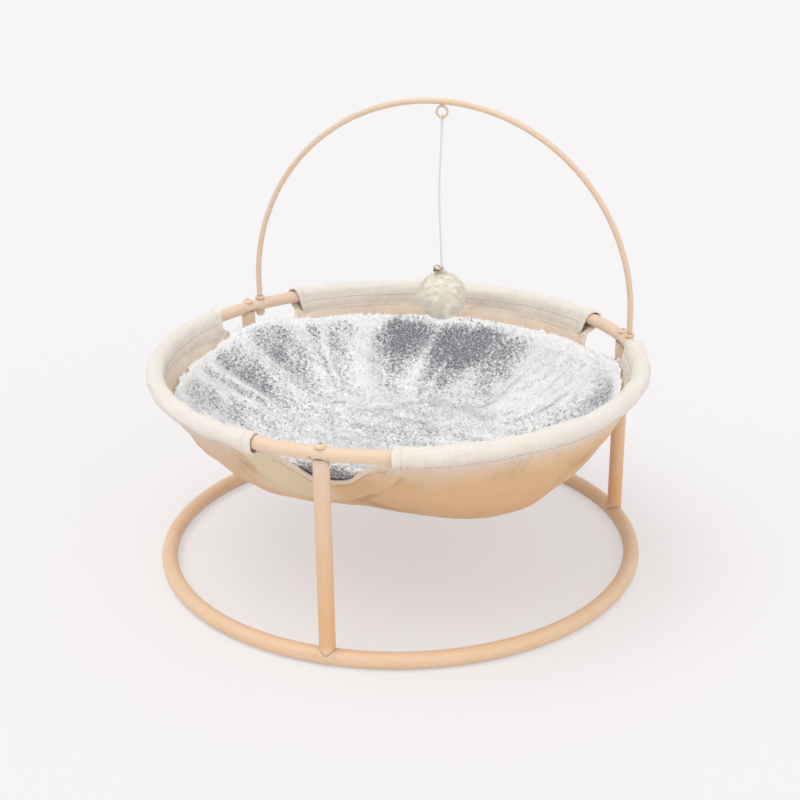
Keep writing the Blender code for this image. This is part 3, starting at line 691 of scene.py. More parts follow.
@dataclass(frozen=True)
class Canvas(Finish):
    """Cream linen canvas: a plain weave with slubs, tanner low in the bowl, partly as its own
    colour and partly as painted shade, and darker in its folds as painted shade.
    """

    pale: Colour = srgb(247, 240, 230)
    tan_and_shade: Colour = srgb(236, 193, 146)
    olive: Colour = srgb(243, 227, 193)
    pitch: float = 0.0012
    plain: ClassVar[dict[str, float]] = {"Sheen Weight": 0.12, "Specular IOR Level": 0.2}

    def wire(self, tree: Tree) -> dict[str, Socket]:
        """Wire the weave, the tanner colour low down with its painted shade, the olive panel and
        the painted shade in the folds.

        Args:
            tree: The material's node tree.

        Returns:
            What changes over the surface, by the shader's input.
        """
        weave = WEAVE.use(tree, Chart=tree.chart(), Pitch=self.pitch, Slub=1.1)
        patch = MOTTLE.use(tree, Place=tree.place(), Size=0.07)["Patch"]
        # The low mask gives a tanner colour that is partly the canvas's own and partly painted
        # shade where the cloth faces down.
        low = tree.maths("ADD", tree.mask("low"), tree.between(patch, 0, 1, -0.04, 0.04))
        colour = tree.blend(low, self.pale, self.tan_and_shade)
        colour = tree.blend(tree.mask("olive"), colour, self.olive)
        thread = tree.between(weave["Tone"], 0.15, 0.85, 0.88, 1.06)
        # Painted shade in the folds, along the seams and at the hem's fold.
        dark = tree.maths("MULTIPLY", tree.mask("shade"), 0.45)
        level = tree.maths("MULTIPLY", thread, tree.maths("SUBTRACT", 1.0, dark))
        lift = tree.node("VectorMath", colour, operation="SCALE")
        tree.feed(lift.inputs["Scale"], level)
        return {"Base Color": lift.outputs[0],
                "Roughness": tree.between(weave["Tone"], 0.2, 0.8, 0.95, 0.82),
                "Normal": tree.bump(weave["Height"], 0.00035, 0.8)}


@dataclass(frozen=True)
class Yarn(Finish):
    """Twisted or spun yarn, with fine fibres along it."""

    colour: Colour
    deep: Colour
    fibre: float = 2200.0
    plain: ClassVar[dict[str, float]] = {"Sheen Weight": 0.3, "Specular IOR Level": 0.25}

    def wire(self, tree: Tree) -> dict[str, Socket]:
        """Wire the fibres.

        Args:
            tree: The material's node tree.

        Returns:
            What changes over the surface, by the shader's input.
        """
        fibre = tree.noise(tree.stretch(tree.chart(), self.fibre / 6, self.fibre), 1.0)
        grain = MOTTLE.use(tree, Place=tree.place(), Size=0.01)["Grain"]
        share = tree.maths("ADD", tree.maths("MULTIPLY", fibre, 0.7), tree.mask("shade"))
        return {"Base Color": tree.blend(share, self.colour, self.deep),
                "Roughness": tree.between(grain, 0.2, 0.8, 0.75, 0.95),
                "Normal": tree.bump(fibre, 0.0001, 0.8)}


@dataclass(frozen=True)
class Pile(Finish):
    """Fur or wool strands: one colour at the root, another at the tip, lighter by its shade."""

    root: Colour
    pale_root: Colour
    tip: Colour
    pale_tip: Colour
    frost: tuple[float, float]
    plain: ClassVar[dict[str, float]] = {"Sheen Weight": 0.25, "Specular IOR Level": 0.15}

    def wire(self, tree: Tree) -> dict[str, Socket]:
        """Wire the colour along the strand.

        Args:
            tree: The material's node tree.

        Returns:
            What changes over the surface, by the shader's input.
        """
        root = tree.blend(tree.mask("shade"), self.root, self.pale_root)
        tip = tree.blend(tree.mask("shade"), self.tip, self.pale_tip)
        share = tree.between(tree.mask("tip"), *self.frost)
        return {"Base Color": tree.blend(share, root, tip),
                "Roughness": tree.between(share, 0.0, 1.0, 0.95, 0.8)}


@dataclass(frozen=True)
class Backing(Finish):
    """Short pile or wool close to the cloth: pale, with dark speckles where it is less white."""

    colour: Colour
    deep: Colour
    speckle: float = 0.0022
    plain: ClassVar[dict[str, float]] = {"Sheen Weight": 0.2, "Specular IOR Level": 0.1}

    def wire(self, tree: Tree) -> dict[str, Socket]:
        """Wire the speckles and the tufts.

        Args:
            tree: The material's node tree.

        Returns:
            What changes over the surface, by the shader's input.
        """
        grain = tree.noise(tree.place(), 1.0 / self.speckle, 3.0)
        fine = tree.noise(tree.place(), 3.5 / self.speckle)
        level = tree.maths("ADD", tree.maths("MULTIPLY", tree.mask("shade"), 0.46), 0.26)
        share = tree.between(tree.maths("SUBTRACT", grain, level), -0.11, 0.13)
        tufts = tree.maths("ADD", tree.maths("MULTIPLY", fine, 0.4),
                           tree.maths("SUBTRACT", grain, share))
        return {"Base Color": tree.blend(share, self.colour, self.deep),
                "Roughness": tree.between(grain, 0.2, 0.8, 0.85, 1.0),
                "Normal": tree.bump(tufts, 0.0012, 0.6)}


@dataclass(frozen=True)
class BareMetal(Finish):
    """Plated or polished metal with fine scratches and a little tarnish."""

    colour: Colour
    tarnish: Colour
    roughness: float
    plain: ClassVar[dict[str, float]] = {"Metallic": 1.0}

    def wire(self, tree: Tree) -> dict[str, Socket]:
        """Wire the tarnish and the scratches.

        Args:
            tree: The material's node tree.

        Returns:
            What changes over the surface, by the shader's input.
        """
        patch = MOTTLE.use(tree, Place=tree.place(), Size=0.003)["Patch"]
        scratch = tree.noise(tree.stretch(tree.place(), 3000.0, 300.0, 3000.0), 1.0)
        share = tree.maths("MULTIPLY", patch, 0.6)
        return {"Base Color": tree.blend(share, self.colour, self.tarnish),
                "Roughness": tree.between(scratch, 0.3, 0.7, self.roughness - 0.08,
                                          self.roughness + 0.12),
                "Normal": tree.bump(scratch, 0.00002, 0.5)}


@dataclass(frozen=True)
class Finishes:
    """Every finish of the lounger, built once."""

    paint: Look
    canvas: Look
    thread: Look
    plush: Look
    plush_backing: Look
    cord: Look
    wool: Look
    wool_core: Look
    bell: Look
    steel: Look

    @classmethod
    def made(cls) -> "Finishes":
        """Build them all."""
        white = srgb(254, 254, 254)
        return cls(
            paint=PowderCoat("frame_powder_coat").look("frame_paint"),
            canvas=Canvas("cream_canvas").look("canvas"),
            thread=Yarn("sewing_thread", srgb(200, 172, 140), srgb(154, 124, 94)).look("canvas"),
            plush=Pile("plush_pile", srgb(104, 108, 116), white, srgb(212, 214, 219),
                       srgb(255, 255, 255), (0.1, 0.6)).look("plush"),
            plush_backing=Backing("plush_backing", white, srgb(128, 132, 140)).look("plush"),
            cord=Yarn("toy_cord", srgb(246, 243, 242), srgb(216, 213, 214)).look("toy_cord"),
            wool=Pile("pompom_wool", srgb(252, 242, 218), srgb(255, 250, 238),
                      srgb(255, 251, 242), srgb(255, 254, 251), (0.1, 0.8)).look("pompom"),
            wool_core=Backing("pompom_core", srgb(255, 251, 240),
                              srgb(253, 239, 205)).look("pompom"),
            bell=BareMetal("bell_plate", srgb(206, 196, 182), srgb(158, 118, 70),
                           0.2).look("bell_metal"),
            steel=BareMetal("zinc_plate", srgb(196, 198, 204), srgb(150, 152, 158),
                            0.3).look("plated_steel"),
        )


def add_piece(name: str, mesh: bpy.types.Mesh, look: Look, *replaces: str,
              body: str = "frame") -> bpy.types.Object:
    """Show a mesh as a finished piece that rides on a body.

    Args:
        name: Name of the piece.
        mesh: Its mesh, with its place in it.
        look: Its finish and slot.
        *replaces: The plain nodes that it stands for.
        body: The body that it moves with.

    Returns:
        The new object.
    """
    piece = new_object(name, mesh)
    mesh.materials.append(look.material)
    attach(piece, body)
    if replaces:
        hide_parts(*replaces)
    return piece


def add_grids(name: str, surfaces: list[Surface], look: Look, *replaces: str,
              body: str = "frame", sharp: float = 50.0) -> bpy.types.Object:
    """Weave grids into one mesh and show it as a piece, as weave_grids and add_piece say."""
    return add_piece(name, weave_grids(name, surfaces, sharp), look, *replaces, body=body)


def cut_away(piece: bpy.types.Object, tool: Surface) -> None:
    """Cut a tool's volume out of a piece and keep the result in its mesh.

    Args:
        piece: The piece that is cut.
        tool: The volume's surface.
    """
    cutter = new_object("cutter", weave_grids("cutter", [tool.facing()]))
    step = piece.modifiers.new("cut", "BOOLEAN")
    step.operation, step.object, step.solver = "DIFFERENCE", cutter, "EXACT"
    bpy.context.view_layer.update()
    made = as_shaped(piece)
    piece.modifiers.remove(step)
    old, piece.data = piece.data, made
    bpy.data.meshes.remove(old)
    bpy.data.meshes.remove(cutter.data)
    made.set_sharp_from_angle(angle=math.radians(40.0))


# The tube frame


@dataclass
class TubeFrame:
    """Base ring, legs, rim and the button screws over the rim.

    Attributes:
        radius: Radius of the ring's and the rim's centre lines.
        base_tube: Radius of the base ring's tube, as the others are of theirs.
        saddle: How far a leg's horns reach up beside the rim.
        fit_gap: Gap round the plugged end of an arc of the rim.
        socket: Width of a screw's hexagon socket between the flats.
        legs: Bearing of each leg, by name.
    """

    finishes: Finishes
    radius: float = 0.240
    rim_height: float = 0.208
    base_tube: float = 0.008
    base_wall: float = 0.0012
    rim_tube: float = 0.0065
    rim_wall: float = 0.0010
    leg_tube: float = 0.0075
    leg_wall: float = 0.0012
    saddle: float = 0.003
    base_play: float = 0.00012
    rim_play: float = 0.00015
    fit_gap: float = 0.0003
    plug: float = 0.024
    access_hole: float = 0.01142
    screw_head: float = 0.00575
    screw_rise: float = 0.0028
    shank: float = 0.003
    shank_length: float = 0.0215
    socket: float = 0.0040
    legs: dict[str, float] = field(
        default_factory=lambda: {"front": -90.0, "right": 30.0, "left": 150.0})

    def ring_tube(self, bearings: Array, height: float, radius: Array, sides: int,
                  joints: tuple[float, ...] = ()) -> Surface:
        """Carry a circle round the ring: a torus, or a part of one.

        Args:
            bearings: Where the rows lie.
            height: Height of the centre line.
            radius: The tube's radius at each bearing.
            sides: Number of columns.
            joints: Bearings of the legs, beside which shade is painted into the seam.

        Returns:
            The tube, with its mask of painted seam shade on the half that faces the legs.
        """
        path = polar(self.radius, bearings, height)
        far = np.full(len(bearings), 99.0)
        near = np.min([off_bearing(bearings, joint) for joint in joints] + [far], axis=0)
        # Painted shade along the seam where each leg meets the tube.
        off_leg = np.abs(np.radians(near) * self.radius - self.leg_tube)
        mask = 0.55 * np.exp(-np.maximum(off_leg - 0.0002, 0.0) / 0.0005)
        made = tube(path, polar(1.0, bearings, 0.0), UP, radius, sides, {"joint": mask})
        off = made.points[..., 2] - height
        facing_leg = off < 0.0 if height > self.base_tube else off > 0.0
        made.masks["joint"] = made.masks["joint"] * facing_leg
        return made

    def build_base_ring(self) -> None:
        """Build the base ring, drilled from below for each leg's screw."""
        bearings = np.linspace(0.0, 360.0, 361)
        legs = tuple(self.legs.values())
        outer = self.ring_tube(bearings, self.base_tube, self.base_tube, 36, legs)
        inner = self.ring_tube(bearings, self.base_tube, self.base_tube - self.base_wall, 24)
        ring = add_grids("base_ring_tube", [outer.facing(), inner.facing(False)],
                         self.finishes.paint, "base_ring")
        hole, top = self.access_hole / 2, self.base_tube
        profile = np.array([(0, -0.01), (hole, -0.01), (hole, top), (0, top)])
        for bearing in legs:
            cut_away(ring, turned(profile, 40, polar(self.radius, bearing, 0.0), np.eye(3)))
        log.info("base ring: %d faces", len(ring.data.polygons))

    def build_legs(self) -> None:
        """Build each leg, coped over the base ring and under the rim.

        A leg's wall is a closed loop of outer and inner face. At each angle the wall starts on
        the base tube, at the height of that tube's circle under it, and ends under the rim
        tube, at the height of the rim's circle, but no higher than the saddle's horns.
        """
        turn = np.linspace(0.0, TAU, 73)
        share = np.r_[0.0, 0.0015, 0.004, np.linspace(0.02, 0.98, 60), 0.996, 0.9985, 1.0]
        horns = self.rim_height - self.rim_tube + self.saddle
        for name, bearing in self.legs.items():
            way, across, _ = standing(bearing)
            faces = []
            for radius in (self.leg_tube, self.leg_tube - self.leg_wall):
                reach = radius * np.cos(turn)
                base = (self.base_tube + self.base_play) ** 2 - reach ** 2 + 1e-9
                rim = np.maximum((self.rim_tube + self.rim_play) ** 2 - reach ** 2, 0.0)
                low = self.base_tube + np.sqrt(base)
                high = np.minimum(self.rim_height - np.sqrt(rim), horns)
                height = low + (high - low) * share[:, None]
                spoke = reach[:, None] * way + (radius * np.sin(turn))[:, None] * across
                points = self.radius * way + spoke[None] + height[..., None] * UP
                # Painted shade at both coped ends, in the seams against the base ring and the rim.
                end_shade = np.exp(-np.minimum(height - low, high - height) / 0.0007)
                chart = np.stack(np.broadcast_arrays(height, turn * radius), -1)
                faces.append(Surface(points, chart, {"joint": end_shade}))
            add_grids(f"leg_tube_{name}", [closed_loop(faces[0], faces[1].flipped())],
                      self.finishes.paint, f"leg_{name}")
        log.info("legs: %d", len(self.legs))

    def build_rim(self) -> None:
        """Build the rim's three arcs, each swaged at its far end to plug into the next."""
        slim = self.rim_tube - self.rim_wall - self.fit_gap
        plug = math.degrees(self.plug / self.radius)
        for name, bearing in self.legs.items():
            start, end = bearing - 60.0, bearing + 60.0
            bearings = np.r_[np.linspace(start + 0.1, end - 0.72, 161),
                             np.linspace(end, end + plug, 14)]
            radius = np.where(bearings < end - 0.5, self.rim_tube, slim)
            outer = self.ring_tube(bearings, self.rim_height, radius, 32, (bearing,))
            inner = self.ring_tube(bearings[::-1], self.rim_height,
                                   (radius - self.rim_wall)[::-1], 32)
            add_grids(f"rim_tube_{name}", [closed_loop(outer, inner)],
                      self.finishes.paint, f"rim_arc_{name}")
        log.info("rim: three arcs")

    def build_screws(self) -> None:
        """Build the button screws: a dome with a hexagon socket over a plain shank."""
        rise, head, socket = self.screw_rise, self.screw_head, self.socket / 2
        arc = np.linspace(0.30, 0.5 * math.pi, 9)
        dome = [(head * math.sin(a), rise * math.cos(a) * 1.02) for a in arc]
        lip = dome[0][1]
        profile = np.array([(0.0, rise - 0.0016), (socket, rise - 0.0015), (socket, lip - 0.0003),
                            (socket * 1.12, lip), *dome, (head, -0.0004), (self.shank, -0.0012),
                            (self.shank, -self.shank_length), (0.0, -self.shank_length)])

        def socketed(row: Array, turn: Array) -> Array:
            """Return the factor that makes the three rows of the socket a hexagon."""
            return np.where(row < 3, hexagon(turn), 1.0)

        # Painted shade inside the hexagon socket.
        in_socket = np.repeat((np.arange(len(profile))[:, None] < 3) * 0.8, 49, 1)
        for name, bearing in self.legs.items():
            centre = polar(self.radius, bearing, self.rim_height + self.rim_tube + 0.0001)
            made = turned(profile, 48, centre, standing(bearing), socketed).facing()
            made.masks["joint"] = in_socket
            add_grids(f"button_screw_{name}", [made], self.finishes.paint, f"top_screw_{name}",
                      sharp=35.0)
        log.info("button screws: %d", len(self.legs))

    def build(self) -> None:
        """Build the whole tube frame."""
        for step in (self.build_base_ring, self.build_legs, self.build_rim, self.build_screws):
            step()


# The arch and its fixings


@dataclass
class ToyArch:
    """The rod bent over the lounger, its collars and nuts, and the eye under its crown.

    Attributes:
        centre: Middle of the arch's chord, on the rim's centre line.
        turn: Bearing of its right stem from the centre.
        spring: Height over the centre where the half circle starts.
        joint_shade: Height just over the collars, where shade is painted into the seam round the
            rod.
        seat: Distance from the rim's centre line to a collar and to a nut.
        eye_offset: How far the eye lies to the right of the middle.
    """

    finishes: Finishes
    centre: tuple[float, float, float] = (0.008371, 0.119708, 0.208)
    turn: float = -4.0
    rod: float = 0.003
    half_chord: float = 0.2078461
    stem_end: float = -0.0118
    spring: float = 0.027
    joint_shade: float = 0.2185
    collar: float = 0.00525
    collar_height: float = 0.003
    nut: float = 0.005
    nut_height: float = 0.0034
    nut_cap: float = 0.0047
    seat: float = 0.0068
    eye_offset: float = 0.006
    eye_circle: float = 0.0057
    eye_wire: float = 0.0013
    eye_height: float = 0.2244582

    def axes(self) -> Array:
        """Return the arch's own directions: across, through and up."""
        return standing(self.turn)

    def at(self, across: Array, through: Array, up: Array) -> Array:
        """Return the places of points given in the arch's own directions."""
        spots = np.stack(np.broadcast_arrays(across, through, up), -1)
        return np.array(self.centre) + spots @ self.axes()

    def build_rod(self) -> None:
        """Build the rod: a circle carried up one stem, over a half circle and down the other."""
        rise = np.linspace(self.stem_end, self.spring, 24)[:-1]
        turn = np.linspace(math.pi, 0.0, 181)
        stem = np.ones(len(rise))
        across = np.r_[-stem, np.cos(turn), stem] * self.half_chord
        up = np.r_[rise, self.spring + self.half_chord * np.sin(turn), rise[::-1]]
        path = self.at(across, 0.0, up)
        side = self.axes()[1]
        other = np.cross(heading(path), side)
        capped = np.r_[0, np.arange(len(path)), len(path) - 1]
        radius = np.r_[0.0, np.full(len(path), self.rod), 0.0]
        # Painted shade where the rod goes into the collars.
        off = np.maximum(np.abs(path[capped, 2] - self.joint_shade) - 0.0002, 0.0)
        rod = tube(path[capped], side, other[capped], radius, 24,
                   {"joint": 0.6 * np.exp(-off / 0.0006)})
        add_grids("arch_rod", [rod.facing()], self.finishes.paint, "toy_arch")

    def build_fixings(self) -> None:
        """Build the collars over the rim and the cap nuts under it."""
        bore, wide, high = self.rod + 0.0001, self.collar, self.collar_height
        ring = [(bore, 0.0), (wide, 0.0), (wide, high), (bore, high), (bore, 0.0)]
        ring = eased(ring, 0.0006)
        turn = np.linspace(0.0, math.pi / 2, 8)[1:]
        cap = [(self.nut_cap * math.cos(a), -self.nut_height - 0.003 * math.sin(a)) for a in turn]
        body = eased([(0.0, 0.0), (self.nut, 0.0), (self.nut, 0.0001 - self.nut_height),
                      (self.nut_cap, -self.nut_height)], 0.0004)
        nut = np.concatenate([body, cap[:-1], [(0.0, cap[-1][1])]])

        def faceted(row: Array, angle: Array) -> Array:
            """Return the factor that cuts six flats on the nut's body."""
            flat = math.cos(math.pi / 6) * hexagon(angle)
            return np.where((row > 0) & (row < len(body) - 3), flat, 0.93)

        for side, across in (("right", self.half_chord), ("left", -self.half_chord)):
            collar = turned(ring, 40, self.at(across, 0.0, self.seat), self.axes())
            add_grids(f"collar_{side}", [collar.facing()], self.finishes.paint,
                      f"arch_collar_{side}", sharp=60.0)
            made = turned(nut, 48, self.at(across, 0.0, -self.seat), self.axes(), faceted)
            add_grids(f"cap_nut_{side}", [made.facing()], self.finishes.paint,
                      f"arch_nut_{side}", sharp=35.0)

    def build_eye(self) -> None:
        """Build the eye: a wire ring with the bead of weld that holds it to the rod."""
        turn = np.linspace(0.0, TAU, 73)
        path = self.at(self.eye_offset + self.eye_circle * np.cos(turn), 0.0,
                       self.eye_height + self.eye_circle * np.sin(turn))
        spoke = unit(path - self.at(self.eye_offset, 0.0, self.eye_height))
        swell = 1.0 + 0.06 * np.sin(5.0 * turn + 1.0) * hump(turn - 1.57, 0.5)
        ring = tube(path, self.axes()[1], spoke, self.eye_wire * swell, 18).facing()
        angle = np.linspace(0.0, math.pi, 13)
        bead = np.stack([0.0021 * np.sin(angle), 0.0014 * np.cos(angle)], 1)
        top = self.at(self.eye_offset - 0.0002, 0.0, self.eye_height + 0.0068)

        def lumpy(row: Array, round_it: Array) -> Array:
            """Return a factor that leaves the bead uneven."""
            return 1.0 + 0.12 * np.sin(3.0 * round_it + row)

        weld = turned(bead, 24, top, self.axes(), lumpy).facing()
        weld.masks["joint"] = np.full(weld.points.shape[:2], 0.25)
        add_grids("hanging_eye", [ring, weld], self.finishes.paint, "toy_eye")

    def build(self) -> None:
        """Build the arch with its fixings and its eye."""
        for step in (self.build_rod, self.build_fixings, self.build_eye):
            step()
        log.info("arch: rod, collars, nuts and eye")


# The hanging curve that the cover and the pad follow


@dataclass(frozen=True)
class BowlForm:
    """The hanging curve of the bowl's cloth, from its middle to its seam.

    At a run t from 0 to 1 the radius grows evenly and the height over the lowest point grows
    as t to the power of the fullness. Towards each leg the curve is drawn in and gentler.

    Attributes:
        seam_reach: Distance from the rim's centre line to the seam.
        fullness: Power of the curve under a sleeve.
        leg_fullness: Its power at a leg.
        sag: How much deeper the bowl hangs to the right.
        pinch: How far it is drawn in at a leg.
        scallop: How far its edge dips at a leg.
        spans: Bearings of each sleeve's two mouths.
        shoulders: Width of each scallop's dip. One under 1 keeps the edge up by the sleeves.
    """

    ring_radius: float = 0.240
    rim_height: float = 0.208
    seam_reach: float = 0.0150
    depth: float = 0.098
    fullness: float = 6.0
    leg_fullness: float = 3.5
    sag: float = 0.010
    pinch: float = 0.006
    scallop: float = 0.018
    spans: tuple[tuple[float, float], ...] = ((-75.4, 23.0), (44.6, 136.0), (160.5, 255.0))
    shoulders: tuple[float, ...] = (3.0, 3.0, 0.5)

    @property
    def seam_turn(self) -> float:
        """Angle of the wall at its seam, below the level."""
        return math.atan2(self.depth * self.fullness, self.ring_radius)

    @property
    def radius(self) -> float:
        """Radius of the seam."""
        return self.ring_radius - self.seam_reach * math.cos(self.seam_turn)

    @property
    def edge_height(self) -> float:
        """Height of the seam."""
        return self.rim_height - self.seam_reach * math.sin(self.seam_turn)

    @property
    def gaps(self) -> list[tuple[float, float]]:
        """Start and width of each gap between two sleeves."""
        sides = zip(self.spans, self.spans[1:] + self.spans[:1])
        return [(start, (end - start) % 360.0) for (_, start), (end, _) in sides]

    def spot(self, bearing: Array, run: Array) -> Array:
        """Return places on the curve.

        Args:
            bearing: Bearings on the cloth.
            run: Runs on it, from 0 to 1.

        Returns:
            Places on the curve.
        """
        slack = 0.5 + 0.5 * np.cos(np.radians(bearing + 90.0) * 3.0)
        radius = self.radius * run - self.pinch * slack * run ** 3
        full = self.fullness + (self.leg_fullness - self.fullness) * slack
        depth = self.depth + self.sag * run * np.cos(np.radians(bearing))
        return polar(radius, bearing, self.edge_height - depth * (1.0 - run ** full))

    def inward(self, bearing: Array, run: Array) -> Array:
        """Return the unit normals that point up and into the bowl.

        Args:
            bearing: Bearings on the cloth.
            run: Runs on it, from 0 to 1.

        Returns:
            The normals there.
        """
        run = np.maximum(run, 0.004)
        around = self.spot(bearing + 0.05, run) - self.spot(bearing - 0.05, run)
        up_wall = self.spot(bearing, run + 0.001) - self.spot(bearing, run - 0.001)
        return unit(np.cross(up_wall, around))

    def gap_share(self, bearing: Array) -> Array:
        """Return 0 under a sleeve, rising to 1 in the middle of the gap at a leg."""
        share = np.zeros(np.shape(bearing))
        for (start, width), shoulder in zip(self.gaps, self.shoulders):
            off = off_bearing(bearing - start, width / 2) / (width / 2)
            dip = (1.0 - off ** 4) / (1.0 + (off / shoulder) ** 5)
            share = np.maximum(share, np.where(off < 1.0, dip, 0.0))
        return share

    def edge(self, bearing: Array) -> Array:
        """Return the run of the cloth's edge, which dips in a scallop at each leg."""
        return 1.0 - self.scallop / self.radius * self.gap_share(bearing)

    def wall_length(self, run: Array) -> Array:
        """Return the length along the cloth from the middle, as a mean of all bearings."""
        steps = np.linspace(0.0, 1.05, 400)
        out, rise = np.diff(steps * self.radius), np.diff(self.depth * steps ** 5.0)
        return np.interp(run, steps, np.r_[0.0, np.hypot(out, rise).cumsum()])

    def plan(self, bearing: Array, run: Array) -> Array:
        """Return the cloth laid flat: its length from the middle, at its bearing."""
        return polar(self.wall_length(run), bearing, 0.0)[..., :2]


@dataclass(frozen=True)
class Fold:
    """A fold in a hanging cloth: a ridge on one side of a line and a valley on the other.

    Attributes:
        line: The line's points as (bearing, run).
        height: Height of the ridge.
        width: Distance from the line at which the ridge is highest.
    """

    line: tuple[tuple[float, float], ...]
    height: float
    width: float

    def relief(self, form: BowlForm, plan: Array) -> Array:
        """Work out how far the cloth stands out.

        The height is the signed distance to the line over the width, times a bell curve of
        that, and it fades towards both ends of the line.

        Args:
            form: The bowl that the line is drawn on.
            plan: The cloth's places, laid flat.

        Returns:
            How far each place stands out.
        """
        spots = form.plan(*np.array(self.line).T)
        sizes = np.linalg.norm(np.diff(spots, axis=0), axis=1)
        nearest, relief = np.full(plan.shape[:-1], np.inf), np.zeros(plan.shape[:-1])
        for start, end, size, gone in zip(spots, spots[1:], sizes, lengths(spots)):
            way = (end - start) / size
            off = plan - start
            share = np.clip(off @ way, 0.0, size)
            off = off - share[..., None] * way
            side = (way[0] * off[..., 1] - way[1] * off[..., 0]) / self.width
            reach = np.linalg.norm(off, axis=-1)
            place = (gone + share) / sizes.sum()
            fade = np.clip(np.sin(math.pi * (0.06 + 0.88 * place)), 0.0, 1.0) ** 0.5
            value = self.height * side * hump(side) * fade * 2.3
            value = np.where(reach < 4.0 * self.width, value, 0.0)
            relief = np.where(reach < nearest, value, relief)
            nearest = np.minimum(reach, nearest)
        return relief


# The sewn cover


@dataclass
class Cover:
    """The canvas bowl with its hems, and the sleeves sewn on it round the rim.

    Attributes:
        lap: How far a sleeve's two edges lap over the bowl.
        closing: Width over which a cut edge of a sleeve is rounded.
        hem_roll: Radius of the rolled hem along a scallop.
    """

    finishes: Finishes
    form: BowlForm
    cloth: float = 0.0015
    sleeve_cloth: float = 0.0013
    sleeve_radius: float = 0.0082
    lap: float = 0.0045
    closing: float = 0.0009
    hem_depth: float = 0.0078
    hem_roll: float = 0.00165
    stitch_pitch: float = 0.0040
    stitch_half: float = 0.00145
    stitch_radius: float = 0.00033
    folds: tuple[Fold, ...] = (
        Fold(((-41.2, .983), (-37.2, .974), (-33.5, .967)), 0.0011, 0.0022),
        Fold(((-52.5, .976), (-51.5, .964), (-51.8, .955), (-53.5, .96)), 0.0007, 0.0016),
        Fold(((-69.2, .971), (-65, .976), (-60.2, .964), (-55.8, .969)), 0.0008, 0.0022),
        Fold(((-113, .985), (-111, .957), (-110.5, .926), (-108.8, .888), (-106, .848),
              (-102.5, .819), (-97.2, .79)), -0.0036, 0.0050),
        Fold(((-117, .975), (-116, .93), (-113, .88), (-108, .83)), 0.0012, 0.006),
        Fold(((-73, .985), (-76, .93), (-82, .86), (-86, .80)), 0.0020, 0.0065),
        Fold(((-67, .98), (-71, .92), (-78, .85)), -0.0012, 0.006),
        Fold(((20, .985), (24, .93), (28, .87), (30, .80)), -0.0022, 0.0065),
        Fold(((48, .985), (43, .93), (38, .87), (34, .80)), 0.0022, 0.0065),
        Fold(((133, .985), (138, .93), (143, .87), (147, .80)), -0.0022, 0.0065),
        Fold(((164, .985), (159, .93), (155, .87), (152, .80)), 0.0022, 0.0065),
        Fold(((60, .93), (80, .90), (102, .93)), 0.0010, 0.012),
        Fold(((190, .92), (210, .90), (228, .93)), 0.0010, 0.012),
        Fold(((-30, .93), (-12, .90), (6, .92)), 0.0012, 0.012),
        Fold(((84, .996), (88, .975), (91, .955)), 0.0016, 0.005),
    )

    def relief(self, bearing: Array, run: Array) -> Array:
        """Return how far the cloth stands out of its hanging curve, away from the pad.

        It is a slow swell, fine puckers that die away below the seam and the named folds.

        Args:
            bearing: Bearings on the cloth.
            run: Runs on it, from 0 to 1.

        Returns:
            How far the cloth stands out.
        """
        plan = self.form.plan(bearing, run)
        x, y = plan[..., 0], plan[..., 1]
        swell = 0.0011 * ripple(x, y, 0.12, 3) * smooth_step(0.3, 0.8, run)
        swell += 0.00035 * ripple(x, y, 0.035, 4)
        pucker = np.sin(np.radians(bearing) * 196.0 + 1.6 * ripple(x, y, 0.03, 5))
        pucker *= 0.00045 * np.exp(-(self.form.edge(bearing) - run) * self.form.radius / 0.008)
        total = swell + pucker * (1.0 - self.form.gap_share(bearing))
        for fold in self.folds:
            total = total + fold.relief(self.form, plan)
        return total * smooth_step(0.0, 0.1, run)

    def masks(self, bearing: Array, run: Array) -> dict[str, Array]:
        """Paint the tanner colour low in the bowl, partly its own and partly painted shade, the
        olive panel by the front leg and painted shade in the deep folds.

        Args:
            bearing: Bearings on the cloth.
            run: Runs on it, from 0 to 1.

        Returns:
            The masks by name.
        """
        height = self.form.spot(bearing, run)[..., 2]
        # Tanner low in the bowl and more so to the front right: partly the canvas's own colour,
        # partly painted shade on the downward and less lit faces.
        low = 1.0 - smooth_step(0.163, 0.214, height)
        right = 0.5 + 0.5 * np.cos(np.radians(bearing + 30.0))
        panel = smooth_step(-116.0, -109.0, bearing) * (1.0 - smooth_step(-93.0, -88.0, bearing))
        olive = panel * smooth_step(0.74, 0.84, run) * 0.85
        shade = np.clip((-0.0012 - self.relief(bearing, run)) / 0.003, 0.0, 0.5)
        return {"low": low * (0.60 + 0.40 * right), "olive": olive, "shade": shade}

    def build_bowl(self) -> bpy.types.Object:
        """Build the bowl: the hanging curve plus its relief, with the canvas's thickness.

        Its rows lie closer towards the free edge, where the thickness is rounded off.
        """
        bearing = np.linspace(-180.0, 180.0, 457)
        share = np.linspace(0.0, 1.0, 78)[:, None] ** 0.85
        tail = np.array([0.0004, 0.0002, 0.00006, 0.0])[:, None]
        edge = self.form.edge(bearing)[None]
        run = np.concatenate([share * (edge - 0.0008 / self.form.radius),
                              edge - tail / self.form.radius])
        left = (edge - run) * self.form.radius * 1.6
        bearing = np.broadcast_to(bearing, run.shape)
        middle = self.wall_spot(bearing, run, 0.0)
        middle[0] = middle[0].mean(0)
        faces = cloth_wall(middle, self.form.plan(bearing, run),
                           self.cloth * rounded(left / 0.0008), self.masks(bearing, run))
        return add_grids("canvas_bowl", faces, self.finishes.canvas, "sling_bowl", sharp=70.0)

    def wall_spot(self, bearing: Array, run: Array, lift: Array) -> Array:
        """Return places on the bowl's cloth, lifted off its middle into the bowl."""
        out = lift - self.relief(bearing, run)
        return self.form.spot(bearing, run) + self.form.inward(bearing, run) * out[..., None]

